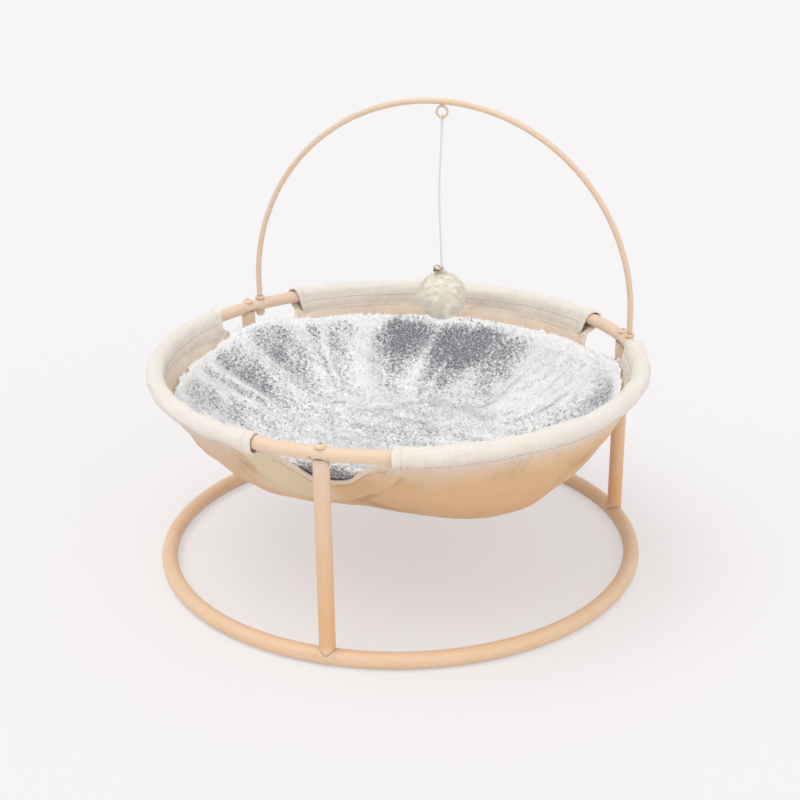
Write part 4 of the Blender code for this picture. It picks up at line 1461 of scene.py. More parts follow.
    def sleeve_middle(self, bearing: Array, columns: Array) -> Array:
        """Work out a sleeve's middle surface.

        Its section starts on the bowl's outside a lap below the seam, runs up to the seam,
        goes straight to where it touches a circle round the rim, follows the circle and comes
        back the same way to the bowl's inside.

        Args:
            bearing: Bearing at each point of the grid.
            columns: From -2 to 2 over the section: under 1 it is on the circle.

        Returns:
            Places on the middle surface.
        """
        side = np.sign(columns)
        step = (self.cloth + self.sleeve_cloth) / 2 + 0.00005
        low = np.clip(np.abs(columns) - 1.5, 0.0, 0.5) * 2
        below = self.wall_spot(bearing, 1.0 - low * self.lap / self.form.radius * 0.42,
                               side * step * (1.0 - 0.72 * low))
        seam = self.wall_spot(bearing, np.ones_like(bearing), side * step)
        inward = self.form.ring_radius - np.hypot(seam[..., 0], seam[..., 1])
        down = self.form.rim_height - seam[..., 2]
        reach, angle = np.hypot(inward, down), np.arctan2(down, inward)
        spare = np.arccos(np.clip(self.sleeve_radius / reach, -1.0, 1.0))
        touch = angle - side * spare
        first = np.where(side < 0, touch, touch + TAU)
        turn = first + (angle + math.pi - first) * (1.0 - np.clip(np.abs(columns), 0.0, 1.0))
        round_part = self.sleeve_radius * np.stack([np.cos(turn), np.sin(turn)], -1)
        share = np.clip((np.abs(columns) - 1.0) * 2, 0.0, 1.0)[..., None]
        section = round_part * (1.0 - share) + np.stack([inward, down], -1) * share
        flank = polar(self.form.ring_radius - section[..., 0], bearing,
                      self.form.rim_height - section[..., 1])
        return np.where((np.abs(columns) > 1.5)[..., None], below, flank)

    def sleeve_grid(self, start: float, end: float) -> tuple[Array, Array, Array]:
        """Lay out a sleeve's grid, finer at its mouths, its lips and its seams.

        The inner side's mouths are cut on a slant, further in the lower they come.

        Args:
            start: Bearing of its first mouth.
            end: Bearing of its other mouth.

        Returns:
            Bearing, section from -2 to 2 and distance to the nearer mouth, at each point.
        """
        metre = 180.0 / math.pi / self.form.ring_radius
        tail = np.array([0.0, 0.00008, 0.0003, 0.0007, 0.0012, 0.002, 0.003, 0.0045, 0.006, 0.008])
        inner = np.linspace(start + 0.01 * metre, end - 0.01 * metre,
                            int((end - start) / metre / 0.0021))
        rows = np.r_[start + tail * metre, inner, end - tail[::-1] * metre]
        lip = 2.0 - np.array([0.75, 0.5, 0.25, 0.12, 0.03, 0.0]) * 0.5
        half = np.r_[np.linspace(0.0, 1.0, 17), 1.1, 1.2, 1.3, 1.4, 1.5, lip]
        bearing, section = np.meshgrid(rows, np.r_[-half[::-1], half[1:]], indexing="ij")
        reach = np.minimum(bearing - start, end - bearing) / metre
        slant = np.where(section > 0, 0.012 * np.abs(section) ** 1.5 / 2.8, 0.0)
        toward = np.where(bearing - start < end - bearing, 1.0, -1.0)
        return bearing + toward * slant * metre * np.exp(-reach / 0.03), section, reach

    def sleeve_slack(self, arc: Array, around: Array, section: Array, reach: Array,
                     seed: int) -> Array:
        """Work out how far a sleeve's cloth stands off its taut form.

        It is a slow and a fine unevenness, puckers along the seam, dents at the mouths and an
        opening of the mouths, all but the puckers weaker where the sleeve laps the bowl.

        Args:
            arc: Length along the rim.
            around: Length round the section.
            section: Place in the section from -2 to 2.
            reach: Distance to the nearer mouth.
            seed: Seed of the unevenness.

        Returns:
            How far each point stands out.
        """
        lapped = smooth_step(1.0, 1.5, np.abs(section))
        slack = 0.0004 * ripple(arc, around, 0.045, seed) * (1.0 - 0.5 * lapped)
        slack += 0.00018 * ripple(arc * 0.5, around, 0.012, seed + 1)
        pucker = np.sin(arc * TAU / 0.0075 + 1.5 * ripple(arc, around, 0.03, seed + 2))
        slack += 0.0004 * pucker * smooth_step(0.75, 1.4, np.abs(section)) * (1 - 0.6 * lapped)
        dents = np.exp(-reach / 0.012) * ripple(arc * 0.3, around, 0.016, seed + 3)
        slack += 0.0009 * dents * (1 - lapped)
        return slack + np.where(section < 0, 0.0012, 0.0004) * np.exp(-reach / 0.01) * (1 - lapped)

    def build_sleeve(self, name: str, span: tuple[float, float], seed: int) -> None:
        """Build one sleeve: its section swept along the rim, with hems.

        Args:
            name: Name of the node that it replaces.
            span: Bearings of its two mouths.
            seed: Seed of its unevenness.
        """
        bearing, section, reach = self.sleeve_grid(*span)
        middle = self.sleeve_middle(bearing, section)
        out = grid_normals(middle)
        rim = polar(self.form.ring_radius, bearing, self.form.rim_height)
        out *= np.sign(dots(out, middle - rim).mean())
        arc = np.radians(bearing) * self.form.ring_radius
        size = np.linalg.norm(np.diff(middle, axis=1), axis=2).cumsum(1)
        around = np.concatenate([np.zeros((len(size), 1)), size], 1)
        around -= around.mean(1, keepdims=True)
        slack = self.sleeve_slack(arc, around, section, reach, seed)
        middle = middle + out * slack[..., None]
        edge = np.maximum(reach, 0) / self.closing
        lip = (2.0 - np.abs(section)) * 2 * self.lap / self.closing
        hem = 1.0 + 0.7 * (1.0 - smooth_step(0.0065, 0.0085, reach))
        seam_shade = 0.25 * hump(np.abs(section) - 1.5, 0.10)
        fold_line = 0.22 * hump(reach - self.hem_depth, 0.0008)
        # Tanner on the sleeve's lower half, partly the canvas's own colour and partly painted
        # shade; painted shade along the seams and the hem's fold.
        masks = {"low": 0.30 * (1.0 - smooth_step(0.185, 0.215, middle[..., 2])),
                 "shade": seam_shade + fold_line}
        faces = cloth_wall(middle, np.stack([arc, around], -1),
                           self.sleeve_cloth * hem * rounded(np.minimum(edge, lip)), masks)
        piece = add_grids(f"canvas_{name}", faces, self.finishes.canvas, name, sharp=70.0)
        for side, place in (("out", -1.2), ("in", 1.2)):
            column = int(np.argmin(np.abs(section[0] - place)))
            self.stitch_line(
                f"seam_stitches_{side}_{name}", middle[5:-5, column], out[5:-5, column],
                self.sleeve_cloth / 2 + 0.00012)

    def build_hems(self) -> list[bpy.types.Object]:
        """Build the rolled hem along each scallop: an oval carried along the bowl's edge."""
        made = []
        for number, (start, width) in enumerate(self.form.gaps):
            bearing = start + np.linspace(-0.04, 1.04, 121) * width
            run = self.form.edge(bearing) - 0.0006 / self.form.radius
            path = self.wall_spot(bearing, run, 0.0)
            way, inward = heading(path), self.form.inward(bearing, run)
            side = unit(inward - dots(inward, way)[:, None] * way)
            ends = (0.5 - np.abs(np.linspace(-0.5, 0.5, 121))) * 60.0
            uneven = 1.0 + 0.10 * ripple(np.radians(bearing) * 0.24, 0 * run, 0.012, 31)
            roll = tube(path, side, np.cross(way, side) * 1.5,
                        self.hem_roll * rounded(ends) * uneven, 14,
                        {"low": np.full(len(path), 0.25)})
            made.append(add_grids(f"scallop_hem_{number + 1}", [roll.facing()],
                                  self.finishes.canvas, sharp=70.0))
        return made

    def stitch_line(self, name: str, line: Array, outs: Array, lift: float) -> bpy.types.Object:
        """Build a row of stitches: small capsules end to end along a line on the cloth.

        Args:
            name: Name of the row.
            line: Points along the cloth's middle surface.
            outs: The cloth's normals there.
            lift: How far over the cloth's middle they lie.

        Returns:
            The row of stitches.
        """
        along = lengths(line)
        places = np.arange(0.003, along[-1] - 0.003, self.stitch_pitch)
        out = unit(read_along(places, along, outs))
        middle = read_along(places, along, line) + out * lift
        way = heading(middle)
        other = np.cross(out, way)
        tilt = np.random.default_rng(7).uniform(-0.12, 0.12, len(middle))[:, None]
        way = unit(way + tilt * other)
        reach = np.array([-1.0, -0.85, -0.35, 0.35, 0.85, 1.0])[:, None, None] * self.stitch_half
        thick = np.array([0.0, 0.6, 1.0, 1.0, 0.6, 0.0])[:, None, None] * self.stitch_radius
        turn = np.linspace(0.0, TAU, 7)
        ring = circle(turn, 0.8 * out[:, None, None], other[:, None, None])
        points = middle[:, None, None] + reach * way[:, None, None] + thick * ring
        chart = np.stack(np.broadcast_arrays(reach[..., 0], turn * 3e-4), -1)
        return add_grids(name, turned_out(*(Surface(grid, chart) for grid in points)),
                         self.finishes.thread)

    def build_stitches(self) -> list[bpy.types.Object]:
        """Build the stitch line along each scallop."""
        made = []
        for number, (start, width) in enumerate(self.form.gaps):
            bearing = start + np.linspace(0.8, width - 0.8, 90)
            run = self.form.edge(bearing) - 0.0048 / self.form.radius
            made.append(self.stitch_line(
                f"hem_stitches_{number + 1}", self.wall_spot(bearing, run, 0.0),
                -self.form.inward(bearing, run), self.cloth / 2 + 0.0001))
        return made

    def build(self) -> None:
        """Build the whole cover."""
        bowl = self.build_bowl()
        hems = self.build_hems()
        names = ("sleeve_front_right", "sleeve_back", "sleeve_left")
        for number, (name, span) in enumerate(zip(names, self.form.spans)):
            self.build_sleeve(name, span, 40 + 5 * number)
        stitches = self.build_stitches()
        across = 2 * float(self.form.wall_length(np.array(1.0)))
        log.info("cover: bowl of %.0f mm of canvas, %d hems", across * 1000, len(hems))


# Strands


@dataclass(frozen=True)
class Strand:
    """A tapered three-sided strand that rises from its root and leans over.

    Attributes:
        length: Mean length.
        width: Width at the root.
        rise: Share of the length that goes straight out of the surface.
        droop: How much of that rise it loses again towards its tip.
        curl: Sideways sweep as a share of the length.
        blend: Share of the surface's own normal in the strand's shading.
        rings: Number of rings below the tip.
    """

    length: float
    width: float
    rise: float
    droop: float
    curl: float
    blend: float
    rings: int = 2

    def triangles(self, points: Array) -> Array:
        """Return a strand's triangles, wound so that they face away from its middle.

        Args:
            points: A strand's points.

        Returns:
            Rows of three point numbers.
        """
        faces = [(0, 2, 1)]
        for first in range(0, 3 * self.rings - 3, 3):
            for side in range(3):
                a, b = first + side, first + (side + 1) % 3
                faces += [(a, b, b + 3), (a, b + 3, a + 3)]
        last, tip = 3 * (self.rings - 1), 3 * self.rings
        faces += [(last + side, last + (side + 1) % 3, tip) for side in range(3)]
        a, b, c = points[0], points[1], points[4]
        outward = np.dot(np.cross(b - a, c - a), a - points[:3].mean(0)) > 0.0
        return np.array(faces)[:, :: 1 if outward else -1]

    def grow(self, name: str, roots: Array, normals: Array, leans: Array, shade: Array,
             rng: np.random.Generator, scale: Array | float = 1.0) -> bpy.types.Mesh:
        """Grow a strand on each root.

        Its middle line at a share s of its length is the root plus the normal times
        rise s less droop s squared, plus the lean times the rest of s squared, plus a
        sideways sweep of s squared. Its width falls off as the root of 1 less s.

        Args:
            name: Name of the mesh.
            roots: Where the strands start.
            normals: Unit directions out of the surface.
            leans: Unit directions along the surface that they lean to.
            shade: Shade of each strand from 0 to 1.
            rng: Seeded generator for their unevenness.
            scale: Size of each strand against the mean.

        Returns:
            One mesh with all the strands.
        """
        count = len(roots)
        share = np.linspace(0.0, 1.0, self.rings + 1)[None, :, None]
        length = (self.length * rng.uniform(0.7, 1.25, count) * scale)[:, None, None]
        across = np.cross(normals, leans)
        sweep = self.curl * rng.normal(0.0, 1.0, count)[:, None, None]
        height = self.rise * share - self.droop * share ** 2
        middle = roots[:, None] + length * (
            height * normals[:, None]
            + (0.15 * share + (1.0 - self.rise * 0.6) * share ** 2) * leans[:, None]
            + sweep * share ** 2 * across[:, None])
        turn = np.array([0.0, TAU / 3, 2 * TAU / 3])
        way = unit(middle[:, -1] - middle[:, 0])
        flat = unit(np.cross(way, across))
        width = self.width * rng.uniform(0.75, 1.3, count)[:, None, None, None]
        radius = width / 2 * np.sqrt(1.0 - share[..., None] ** 1.5)[:, :-1]
        ring = (np.cos(turn)[:, None] * across[:, None, None]
                + 0.7 * np.sin(turn)[:, None] * flat[:, None, None])
        rings = middle[:, :-1, None] + radius * ring
        points = np.concatenate([rings.reshape(count, -1, 3), middle[:, -1:]], 1)
        each = points.shape[1]
        corners = np.arange(count)[:, None, None] * each + self.triangles(points[0])
        up = np.r_[np.repeat(share[0, :-1, 0], 3), 1.0]
        tips = np.broadcast_to(up, (count, each))
        shades = np.broadcast_to(shade[:, None], (count, each))
        chart = np.stack([0.02 + 0.96 * shades, 0.02 + 0.96 * tips], -1)
        chart[:, :-1] += np.tile(0.005 * circle(turn, ACROSS, BACK)[:, :2], (self.rings, 1))
        mesh = fill_mesh(name, points.reshape(-1, 3), corners.reshape(-1, 3),
                         chart.reshape(-1, 2), {"tip": tips, "shade": shades}, "OFBake")
        own = ring.repeat(self.rings, 1).reshape(count, -1, 3)
        own = np.concatenate([own, way[:, None]], 1)
        shading = unit(self.blend * normals[:, None] + (1.0 - self.blend) * own)
        mesh.normals_split_custom_set_from_vertices(shading.reshape(-1, 3))
        return mesh


def scatter(places: Array, corners: Array, normals: Array, weight: Array, count: int,
            rng: np.random.Generator) -> tuple[Array, Array]:
    """Spread roots evenly over triangles.

    Triangles are drawn by their area times their weight, and a place in each is a random mean
    of its corners.

    Args:
        places: Vertices of the surface.
        corners: Triangles as rows of vertex numbers.
        normals: Unit normal of each vertex.
        weight: How thickly each triangle is covered.
        count: Number of roots.
        rng: Seeded generator.

    Returns:
        The roots and the unit normals at them.
    """
    a, b, c = (places[corners[:, i]] for i in range(3))
    area = np.linalg.norm(np.cross(b - a, c - a), axis=1) * weight
    spread = np.cumsum(area) / area.sum()
    chosen = np.searchsorted(spread, (np.arange(count) + rng.uniform(0, 1, count)) / count)
    chosen = corners[np.minimum(chosen, len(corners) - 1)]
    u, v = rng.uniform(0.0, 1.0, (2, count))
    over = u + v > 1.0
    u, v = np.where(over, 1 - u, u)[:, None], np.where(over, 1 - v, v)[:, None]
    roots, out = ((1 - u - v) * grid[chosen[:, 0]] + u * grid[chosen[:, 1]]
                  + v * grid[chosen[:, 2]] for grid in (places, normals))
    return roots, unit(out)


# The plush pad


@dataclass
class PlushPad:
    """The loose pad: a stuffed body with gathers up its wall, covered in frosted plush.

    Attributes:
        lift: Height of its underside over the bowl's middle surface.
        clearance: Least height over it once the pad is filled.
        crown: How much thicker the middle is than the rest.
        margin: Distance from the seam to the pad's edge.
        pile: Height of the pile over the body.
        pleats: Number of pleats up the wall.
        patches: Darker and whiter patches as (bearing, run, width, amount).
    """

    finishes: Finishes
    form: BowlForm
    cover: Cover
    lift: float = 0.00185
    clearance: float = 0.0017
    thickness: float = 0.0154
    edge_thickness: float = 0.008
    least_body: float = 0.0052
    crown: float = 0.004
    margin: float = 0.0070
    pile: float = 0.0040
    locks: int = 52000
    pleats: int = 22
    pleat_depth: float = 0.0080
    pleat_start: float = 176.0
    pleat_wander: float = 4.9
    pleat_slant: float = 115.0
    patches: tuple[tuple[float, float, float, float], ...] = (
        (163, .80, .030, -.20), (168, .89, .022, -.14), (180, .82, .024, -.04),
        (150, .86, .030, -.22), (106, .93, .034, -.44), (94, .91, .036, -.43),
        (84, .91, .036, -.43), (73, .92, .034, -.42), (58, .91, .024, .25), (48, .88, .036, .75),
        (40, .92, .036, .75), (52, .80, .040, .60), (30, .90, .024, .10), (18, .93, .030, -.10),
        (235, .93, .050, .55), (205, .97, .040, .35), (222, .86, .045, .25),
        (0, .2, .090, -.10), (-60, .70, .060, -.12), (-20, .80, .060, .10), (-91, .94, .045, -.9),
        (120, .6, .060, .12), (60, .5, .060, .2),
    )

    def reach(self, bearing: Array) -> Array:
        """Return the run of the pad's edge, which stands a little higher by the rear legs."""
        rise = hump(bearing - 152.0, 12.0) + hump(bearing - 20.0, 9.0)
        return 1.0 - (self.margin - 0.0060 * rise) / self.form.radius

    def pleat_column(self, turn: Array, run: Array) -> Array:
        """Return the bearing of a line that follows the uneven, slanting pleats up the wall."""
        wander = np.sin(np.radians(7.0 * turn + 134.0))
        slant = np.sin(np.radians(turn + 40.0)) * (1.0 - run) * run ** 2
        return self.pleat_start + turn + self.pleat_wander * wander - self.pleat_slant * slant

    def crest(self, bearing: Array, run: Array) -> Array:
        """Work out where the pleats stand.

        The lines that follow the pleats are numbered in degrees. The number of the line
        through a place is found by going back and forth between number and bearing, and the
        crest is a cosine of it.

        Args:
            bearing: Bearings on the pad.
            run: Runs on the pad.

        Returns:
            1 on a pleat's crest and 0 in a valley.
        """
        turn = bearing - self.pleat_start
        for _ in range(30):
            turn = turn + bearing - self.pleat_column(turn, run)
        wave = (0.5 + 0.5 * np.cos(np.radians(self.pleats * turn))) ** 1.5
        return wave * (0.82 + 0.18 * np.sin(np.radians(5.0 * turn + 60.0)))

    def valley(self, bearing: Array, run: Array) -> Array:
        """Return how deep the pad sinks between its pleats."""
        share = np.minimum(run / self.reach(bearing), 1.0)
        reach = smooth_step(0.40, 0.78, share) * (1.0 - 0.6 * smooth_step(0.9, 1.0, share))
        return self.pleat_depth * (1.0 - self.crest(bearing, run)) * reach

    def body(self, bearing: Array, run: Array) -> Array:
        """Return the thickness under the pile.

        It is the pad's whole thickness, a crown in the middle and a thin edge, less the
        valleys and less the pile, with soft lumps.

        Args:
            bearing: Bearings on the pad.
            run: Runs on it, from 0 to 1.

        Returns:
            The thickness in metres.
        """
        share = np.minimum(run / self.reach(bearing), 1.0)
        full = self.thickness + self.crown * (1.0 - share ** 2)
        full = full - (self.thickness - self.edge_thickness) * share ** 8
        x, y = np.moveaxis(self.form.plan(bearing, run), -1, 0)
        lumps = 0.0011 * ripple(x, y, 0.07, 61) + 0.0007 * ripple(x, y, 0.028, 62)
        lumps = lumps * (1.0 - smooth_step(0.9, 1.0, share))
        return np.maximum(full - self.valley(bearing, run) - self.pile + lumps, self.least_body)

    def faces(self) -> list[Surface]:
        """Work out the body's top and underside.

        The top is the bowl's curve lifted along its normals by the body's thickness. Both
        faces close on each other at the edge, along a quarter of an ellipse.
        """
        share = np.r_[np.linspace(0.0, 0.94, 76) ** 0.9, 0.955, 0.97, 0.982, 0.991, 0.997, 1.0]
        bearing, share = np.meshgrid(np.linspace(-180, 180, 361), share)
        run = share * (self.reach(bearing) + 0.0015 / self.form.radius)
        full = self.body(bearing, run)
        half = rounded((1.0 - share) * self.form.radius * 1.8 / 0.006) * full / 2
        chart, made = self.form.plan(bearing, run), []
        for offset in (half, -half):
            height = self.lift + full / 2 + offset
            points = (self.form.spot(bearing, run)
                      + self.form.inward(bearing, run) * height[..., None])
            points[0] = points[0].mean(0)
            made.append(Surface(points, chart))
        return turned_out(made[0], made[1].flipped())

    def where(self, places: Array) -> tuple[Array, Array]:
        """Return the bearing and the run of places near the bowl's curve.

        Args:
            places: Places on or over the pad.

        Returns:
            Bearings and runs.
        """
        bearing = np.degrees(np.arctan2(places[:, 1], places[:, 0]))
        run = np.hypot(places[:, 0], places[:, 1]) / self.form.radius
        for _ in range(3):
            run = np.clip(run, 0.0, 1.0)
            off = places - self.form.spot(bearing, run)
            ahead = self.form.spot(bearing, run + 0.001) - self.form.spot(bearing, run)
            step = dots(off, unit(ahead))
            run = run + step / (np.linalg.norm(ahead, axis=1) / 0.001)
        return bearing, np.clip(run, 0.0, 1.0)

    def facing_share(self, places: Array, normals: Array) -> Array:
        """Return 1 where the surface faces into the bowl and -1 where it faces the canvas."""
        return dots(normals, self.form.inward(*self.where(places)))

    def set_down(self, places: Array) -> Array:
        """Return places moved off the cover's cloth where they would pass through it.

        Args:
            places: Vertices of the pad.

        Returns:
            The vertices after they are moved.
        """
        bearing, run = self.where(places)
        inward = self.form.inward(bearing, run)
        off = dots(places - self.form.spot(bearing, run), inward)
        least = self.clearance + np.maximum(-self.cover.relief(bearing, run), 0.0)
        return places + inward * np.maximum(least - off, 0.0)[:, None]

    def blown_up(self, work: bpy.types.Object, places: Array, normals: Array,
                 cap: float = 0.005) -> Array:
        """Blow the body up by an even pressure, with its underside and the valleys held.

        Args:
            work: The body.
            places: Its vertices.
            normals: Their unit normals.
            cap: Furthest that a vertex may move.

        Returns:
            The vertices where the cloth simulation leaves them.
        """
        low = self.valley(*self.where(places)) > 0.5 * self.pleat_depth
        still = np.flatnonzero((self.facing_share(places, normals) < 0.35) | low)
        work.vertex_groups.new(name="held").add(still.tolist(), 1.0, "REPLACE")
        cloth = work.modifiers.new("filling", "CLOTH").settings
        cloth.use_pressure, cloth.uniform_pressure_force = True, 4.0
        cloth.mass, cloth.quality, cloth.vertex_group_mass = 0.3, 5, "held"
        cloth.effector_weights.gravity = 0.0
        for number in range(1, 19):
            bpy.context.scene.frame_set(number)
        blown = work.evaluated_get(bpy.context.evaluated_depsgraph_get())
        moved = read_points(blown.to_mesh())[0] - places
        blown.to_mesh_clear()
        size = np.linalg.norm(moved, axis=1, keepdims=True)
        work.modifiers.clear()
        bpy.context.scene.frame_set(1)
        return places + moved * np.minimum(1.0, cap / np.maximum(size, 1e-9))

    def swell(self, mesh: bpy.types.Mesh) -> bpy.types.Mesh:
        """Remesh the body evenly, fill it, set it down on the canvas and smooth it once.

        Args:
            mesh: The body before it is filled.

        Returns:
            The filled body.
        """
        work = new_object("pad_filling", mesh)
        remesh = work.modifiers.new("remesh", "REMESH")
        remesh.mode, remesh.voxel_size = "VOXEL", 0.0042
        even = as_shaped(work)
        work.modifiers.clear()
        work.data = even
        places, normals = read_points(even)
        places = self.blown_up(work, places, normals)
        even.vertices.foreach_set("co", self.set_down(places).astype(np.float32).ravel())
        even.update()
        finer = work.modifiers.new("finer", "SUBSURF")
        finer.levels = finer.render_levels = 1
        made = as_shaped(work)
        bpy.data.objects.remove(work)
        return made

    def tone(self, bearing: Array, run: Array) -> Array:
        """Return how white the pile is: patches, the gathers' tops and fine mottling.

        Args:
            bearing: Bearings on the pad.
            run: Runs on it, from 0 to 1.

        Returns:
            Whiteness from 0 to 1.
        """
        plan = self.form.plan(bearing, run)
        total = np.full(len(run), 0.76)
        total += 0.05 * ripple(plan[:, 0], plan[:, 1], 0.035, 71)
        total += 0.10 * ripple(plan[:, 0], plan[:, 1], 0.0065, 72, 24)
        # The whitest patches, at the back right, are painted light where the pad is most brightly
        # lit.
        for place_bearing, place_run, width, amount in self.patches:
            middle = self.form.plan(np.array(float(place_bearing)), np.array(place_run))
            total += amount * hump(np.linalg.norm(plan - middle, axis=1) / width)
        # Lighter tops of the gathers, partly frosted tips and partly painted highlight, and darker
        # valleys by painted shade.
        crest = self.crest(bearing, run)
        line = 0.42 * (crest - 0.42) + 0.20 * smooth_step(0.7, 0.95, crest)
        frost = 0.5 * smooth_step(0.968, 0.996, run / self.reach(bearing))
        return np.clip(total + line * smooth_step(0.5, 0.8, run) + frost, 0.22, 1.0)

    def build(self) -> None:
        """Build the body and grow the pile on it, but not where the canvas hides it."""
        mesh = self.swell(weave_grids("pad_form", self.faces()))
        mesh.name = "plush_body"
        places, normals = read_points(mesh)
        bearing, run = self.where(places)
        paint_mask(mesh, "shade", self.tone(bearing, run))
        mesh.polygons.foreach_set("use_smooth", np.ones(len(mesh.polygons), bool))
        body = add_piece("plush_body", mesh, self.finishes.plush_backing, "plush_pad")
        mesh.calc_loop_triangles()
        corners = np.zeros(len(mesh.loop_triangles) * 3, np.int32)
        mesh.loop_triangles.foreach_get("vertices", corners)
        corners = corners.reshape(-1, 3)
        bare = (run - self.form.edge(bearing))[corners].min(1) * self.form.radius > 0.002
        open_face = self.facing_share(places, normals)[corners].mean(1) > 0.15
        self.grow_pile(places, corners, normals, np.where(open_face | bare, 1.0, 0.0))

    def grow_pile(self, places: Array, corners: Array, normals: Array, weight: Array) -> None:
        """Grow the pile in tufts that lean with the nap.

        The nap swirls slowly over the pad and falls down the wall. The locks are split over
        several pieces so that none of them is too heavy.

        Args:
            places: Vertices of the body.
            corners: Its triangles.
            normals: Its unit normals.
            weight: How thickly each triangle is covered.
        """
        rng = np.random.default_rng(81)
        count = int(self.locks * DETAIL.value)
        roots, out = scatter(places, corners, normals, weight, count, rng)
        bearing, run = self.where(roots)
        x, y = self.form.plan(bearing, run).T
        angle = 0.6 * ripple(x, y, 0.09, 82)
        angle += 0.5 * ripple(x, y, 0.018, 83) + rng.normal(0, 0.40, count)
        up = np.maximum(smooth_step(0.94, 1.0, run / self.reach(bearing)),
                        self.facing_share(roots, out) < 0.4)
        down = polar(0.9 * up - 0.6, bearing, 2.0 * up - 1.0)
        first = unit(down - dots(down, out)[:, None] * out + 1e-6)
        lean = np.cos(angle)[:, None] * first + np.sin(angle)[:, None] * np.cross(out, first)
        shade = self.tone(bearing, run) + rng.normal(0.0, 0.24, count)
        shade = smooth_step(0.1, 0.9, shade)
        scale = 1.0 + 0.15 * ripple(x, y, 0.02, 84)
        scale *= 1.0 - 0.1 * up - 0.2 * self.valley(bearing, run) / self.pleat_depth
        strand = Strand(0.0044, 0.00085 / math.sqrt(DETAIL.value), rise=0.90, droop=0.14,
                        curl=0.15, blend=0.35)
        order = rng.permutation(count)
        pieces = max(1, math.ceil(count * 10 / 190000))
        for number, part in enumerate(np.array_split(order, pieces)):
            name = f"plush_pile_{number + 1}"
            mesh = strand.grow(name, roots[part] - out[part] * 0.0008, out[part], lean[part],
                               shade[part], rng, np.clip(scale[part], 0.6, 1.4))
            add_piece(name, mesh, self.finishes.plush)
        log.info("pad: %d locks in %d pieces", count, pieces)


# The toy


